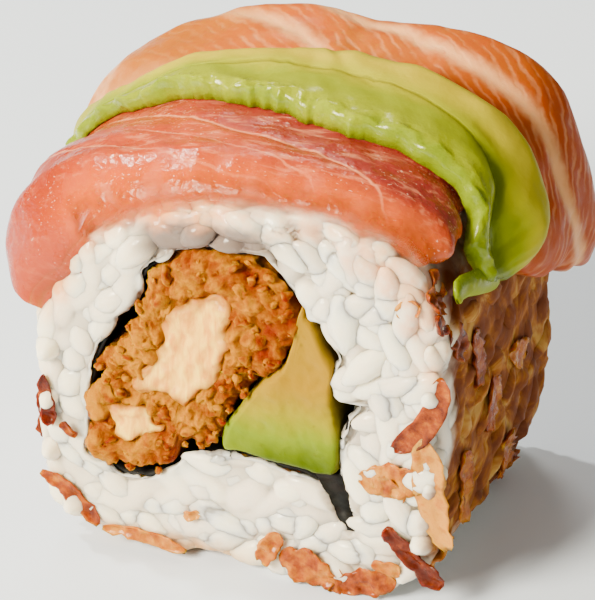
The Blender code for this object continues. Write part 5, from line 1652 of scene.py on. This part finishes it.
class ROLL_OT_avocado(PieceOperator):
    """Make the slice of avocado over the seam between the two fish, and the tongue at its end"""

    bl_idname = "roll.avocado"
    bl_label = "Avocado slice"

    def execute(self, context):
        def place(u, v, side):
            distance = AVOCADO_ENDS[0] + (AVOCADO_ENDS[1] - AVOCADO_ENDS[0]) * u
            front = straight_between(AVOCADO_FRONT, distance)
            front += 0.3 * swirl(distance, 1, 0, 1.7) + 0.2 * swirl(distance, 2, 0, 0.7)
            rear = straight_between(AVOCADO_REAR, distance) + 0.1 * swirl(distance, 5, 0, 3.0)
            depth = front + (rear - front) * v
            rest = avocado_bed(distance, depth) + 0.1
            thick = 2.4 * (1 - 0.5 * leftness(distance)) * bulge(v, 0.35, 0.1, 10 - 4 * v) * bulge(u, 0.3, 0.35, 16)
            lip = 0.1 + 0.42 * swirl(distance, depth, 0, 1.5, 3.0) + 0.28 * swirl(distance, depth, 0, 0.7, 9.0)
            relief = hump(v, 0.05, 0.07) * lip + 0.10 * swirl(distance * 0.4, depth, 0, 2.2, 5.0)
            line = straight_between(AVOCADO_LINE, distance)
            groove = smooth_step(distance, 14, 20)
            relief -= (0.14 + 0.6 * groove) * hump(v, line, 0.035 + 0.05 * groove)
            return LOG.point(distance, depth, rest + side * (thick + relief))

        shape, along, across = slice_grid(190, 54, place)
        reach, share, line = new_marks(shape, "reach", "share", "line")
        for vert in shape.verts:
            distance = AVOCADO_ENDS[0] + (AVOCADO_ENDS[1] - AVOCADO_ENDS[0]) * vert[along]
            width = straight_between(AVOCADO_REAR, distance) - straight_between(AVOCADO_FRONT, distance)
            vert[reach], vert[share] = distance, vert[across]
            vert[line] = (vert[across] - straight_between(AVOCADO_LINE, distance)) * width
        material = slice_finish(context.scene.roll_colours)
        finish_piece("avocado_top", shape, material, ("avocado_slice",))
        self.add_tongue(material)
        return {"FINISHED"}

    def add_tongue(self, material):
        around, steps = 16, 30
        shape, places, (reach, share, line) = wrapped_grid(around, steps, "reach", "share", "line")
        for vert, index, row in places:
            along, angle = row / steps, 2 * math.pi * index / around
            distance, depth = along_path(TONGUE_PATH, along)
            round_end = math.sqrt(max(0.0, 1 - (2 * along - 1) ** 8))
            wide = (1.5 - 0.6 * along) * round_end
            tall = (0.7 - 0.3 * along) * round_end
            lift = 1.3 - 0.4 * along + tall * math.sin(angle) + 0.1 * swirl(distance, depth, angle, 1.5)
            vert.co = LOG.point(distance + wide * math.cos(angle), depth, lift)
            vert[reach], vert[share], vert[line] = 25.0, 0.1 + 0.3 * math.cos(angle), 3.0
        close_up(shape)
        finish_piece("avocado_tongue", shape, material)


class ROLL_OT_stage(PieceOperator):
    """Make the floor, the lights and the camera"""

    bl_idname = "roll.stage"
    bl_label = "Stage"

    def execute(self, context):
        floor = bmesh.new()
        bmesh.ops.create_grid(floor, x_segments=2, y_segments=2, size=3.0)
        mesh = bpy.data.meshes.new("floor")
        floor.to_mesh(mesh)
        floor.free()
        mesh.materials.append(floor_finish(context.scene.roll_colours))
        ground = bpy.data.objects.new("floor", mesh)
        context.scene.collection.objects.link(ground)
        for name, place, size, power, tint in LIGHTS:
            self.add_light(name, place, size, power, tint)
        world = context.scene.world or bpy.data.worlds.new("world")
        context.scene.world = world
        world.use_nodes = True
        sky = world.node_tree.nodes["Background"]
        sky.inputs["Color"].default_value = SKY_COLOUR
        sky.inputs["Strength"].default_value = SKY_STRENGTH
        self.add_camera(context)
        return {"FINISHED"}

    def add_light(self, name, place, size, power, tint):
        lamp = bpy.data.lights.new(name, "AREA")
        lamp.shape = "DISK"
        lamp.size = size
        lamp.energy = power
        lamp.color = tint
        light = bpy.data.objects.new(name, lamp)
        light.location = place
        light.rotation_euler = (VIEW_TARGET * MM - Vector(place)).to_track_quat("-Z", "Y").to_euler()
        bpy.context.scene.collection.objects.link(light)

    def add_camera(self, context):
        back = Vector((math.sin(VIEW_TURN) * math.cos(VIEW_RISE), -math.cos(VIEW_TURN) * math.cos(VIEW_RISE),
                       math.sin(VIEW_RISE)))
        lens = bpy.data.cameras.new("camera")
        lens.sensor_width = 36.0
        lens.lens = VIEW_LENS
        lens.clip_start = 0.01
        camera = bpy.data.objects.new("camera", lens)
        camera.location = (VIEW_TARGET + back * VIEW_DISTANCE) * MM
        camera.rotation_euler = (-back).to_track_quat("-Z", "Y").to_euler()
        context.scene.collection.objects.link(camera)
        context.scene.camera = camera


class ROLL_PT_panel(bpy.types.Panel):
    """The roll's tools in the sidebar"""

    bl_idname = "ROLL_PT_panel"
    bl_label = "Rainbow roll"
    bl_space_type = "VIEW_3D"
    bl_region_type = "UI"
    bl_category = "Roll"

    def draw(self, context):
        for operator in OPERATORS:
            self.layout.operator(operator.bl_idname)
        for settings in (context.scene.roll_sizes, context.scene.roll_colours):
            box = self.layout.box()
            for name in settings.__annotations__:
                box.prop(settings, name)


OPERATORS = (ROLL_OT_rice, ROLL_OT_flakes, ROLL_OT_nori, ROLL_OT_crust, ROLL_OT_meat, ROLL_OT_wedge,
             ROLL_OT_tuna, ROLL_OT_salmon, ROLL_OT_avocado, ROLL_OT_stage)
CLASSES = (RollSizes, RollColours) + OPERATORS + (ROLL_PT_panel,)


def register():
    for item in CLASSES:
        bpy.utils.register_class(item)
    bpy.types.Scene.roll_sizes = bpy.props.PointerProperty(type=RollSizes)
    bpy.types.Scene.roll_colours = bpy.props.PointerProperty(type=RollColours)


def unregister():
    del bpy.types.Scene.roll_colours
    del bpy.types.Scene.roll_sizes
    for item in reversed(CLASSES):
        bpy.utils.unregister_class(item)


def main():
    register()
    for operator in OPERATORS:
        group, name = operator.bl_idname.split(".")
        getattr(getattr(bpy.ops, group), name)()


if __name__ == "__main__":
    main()
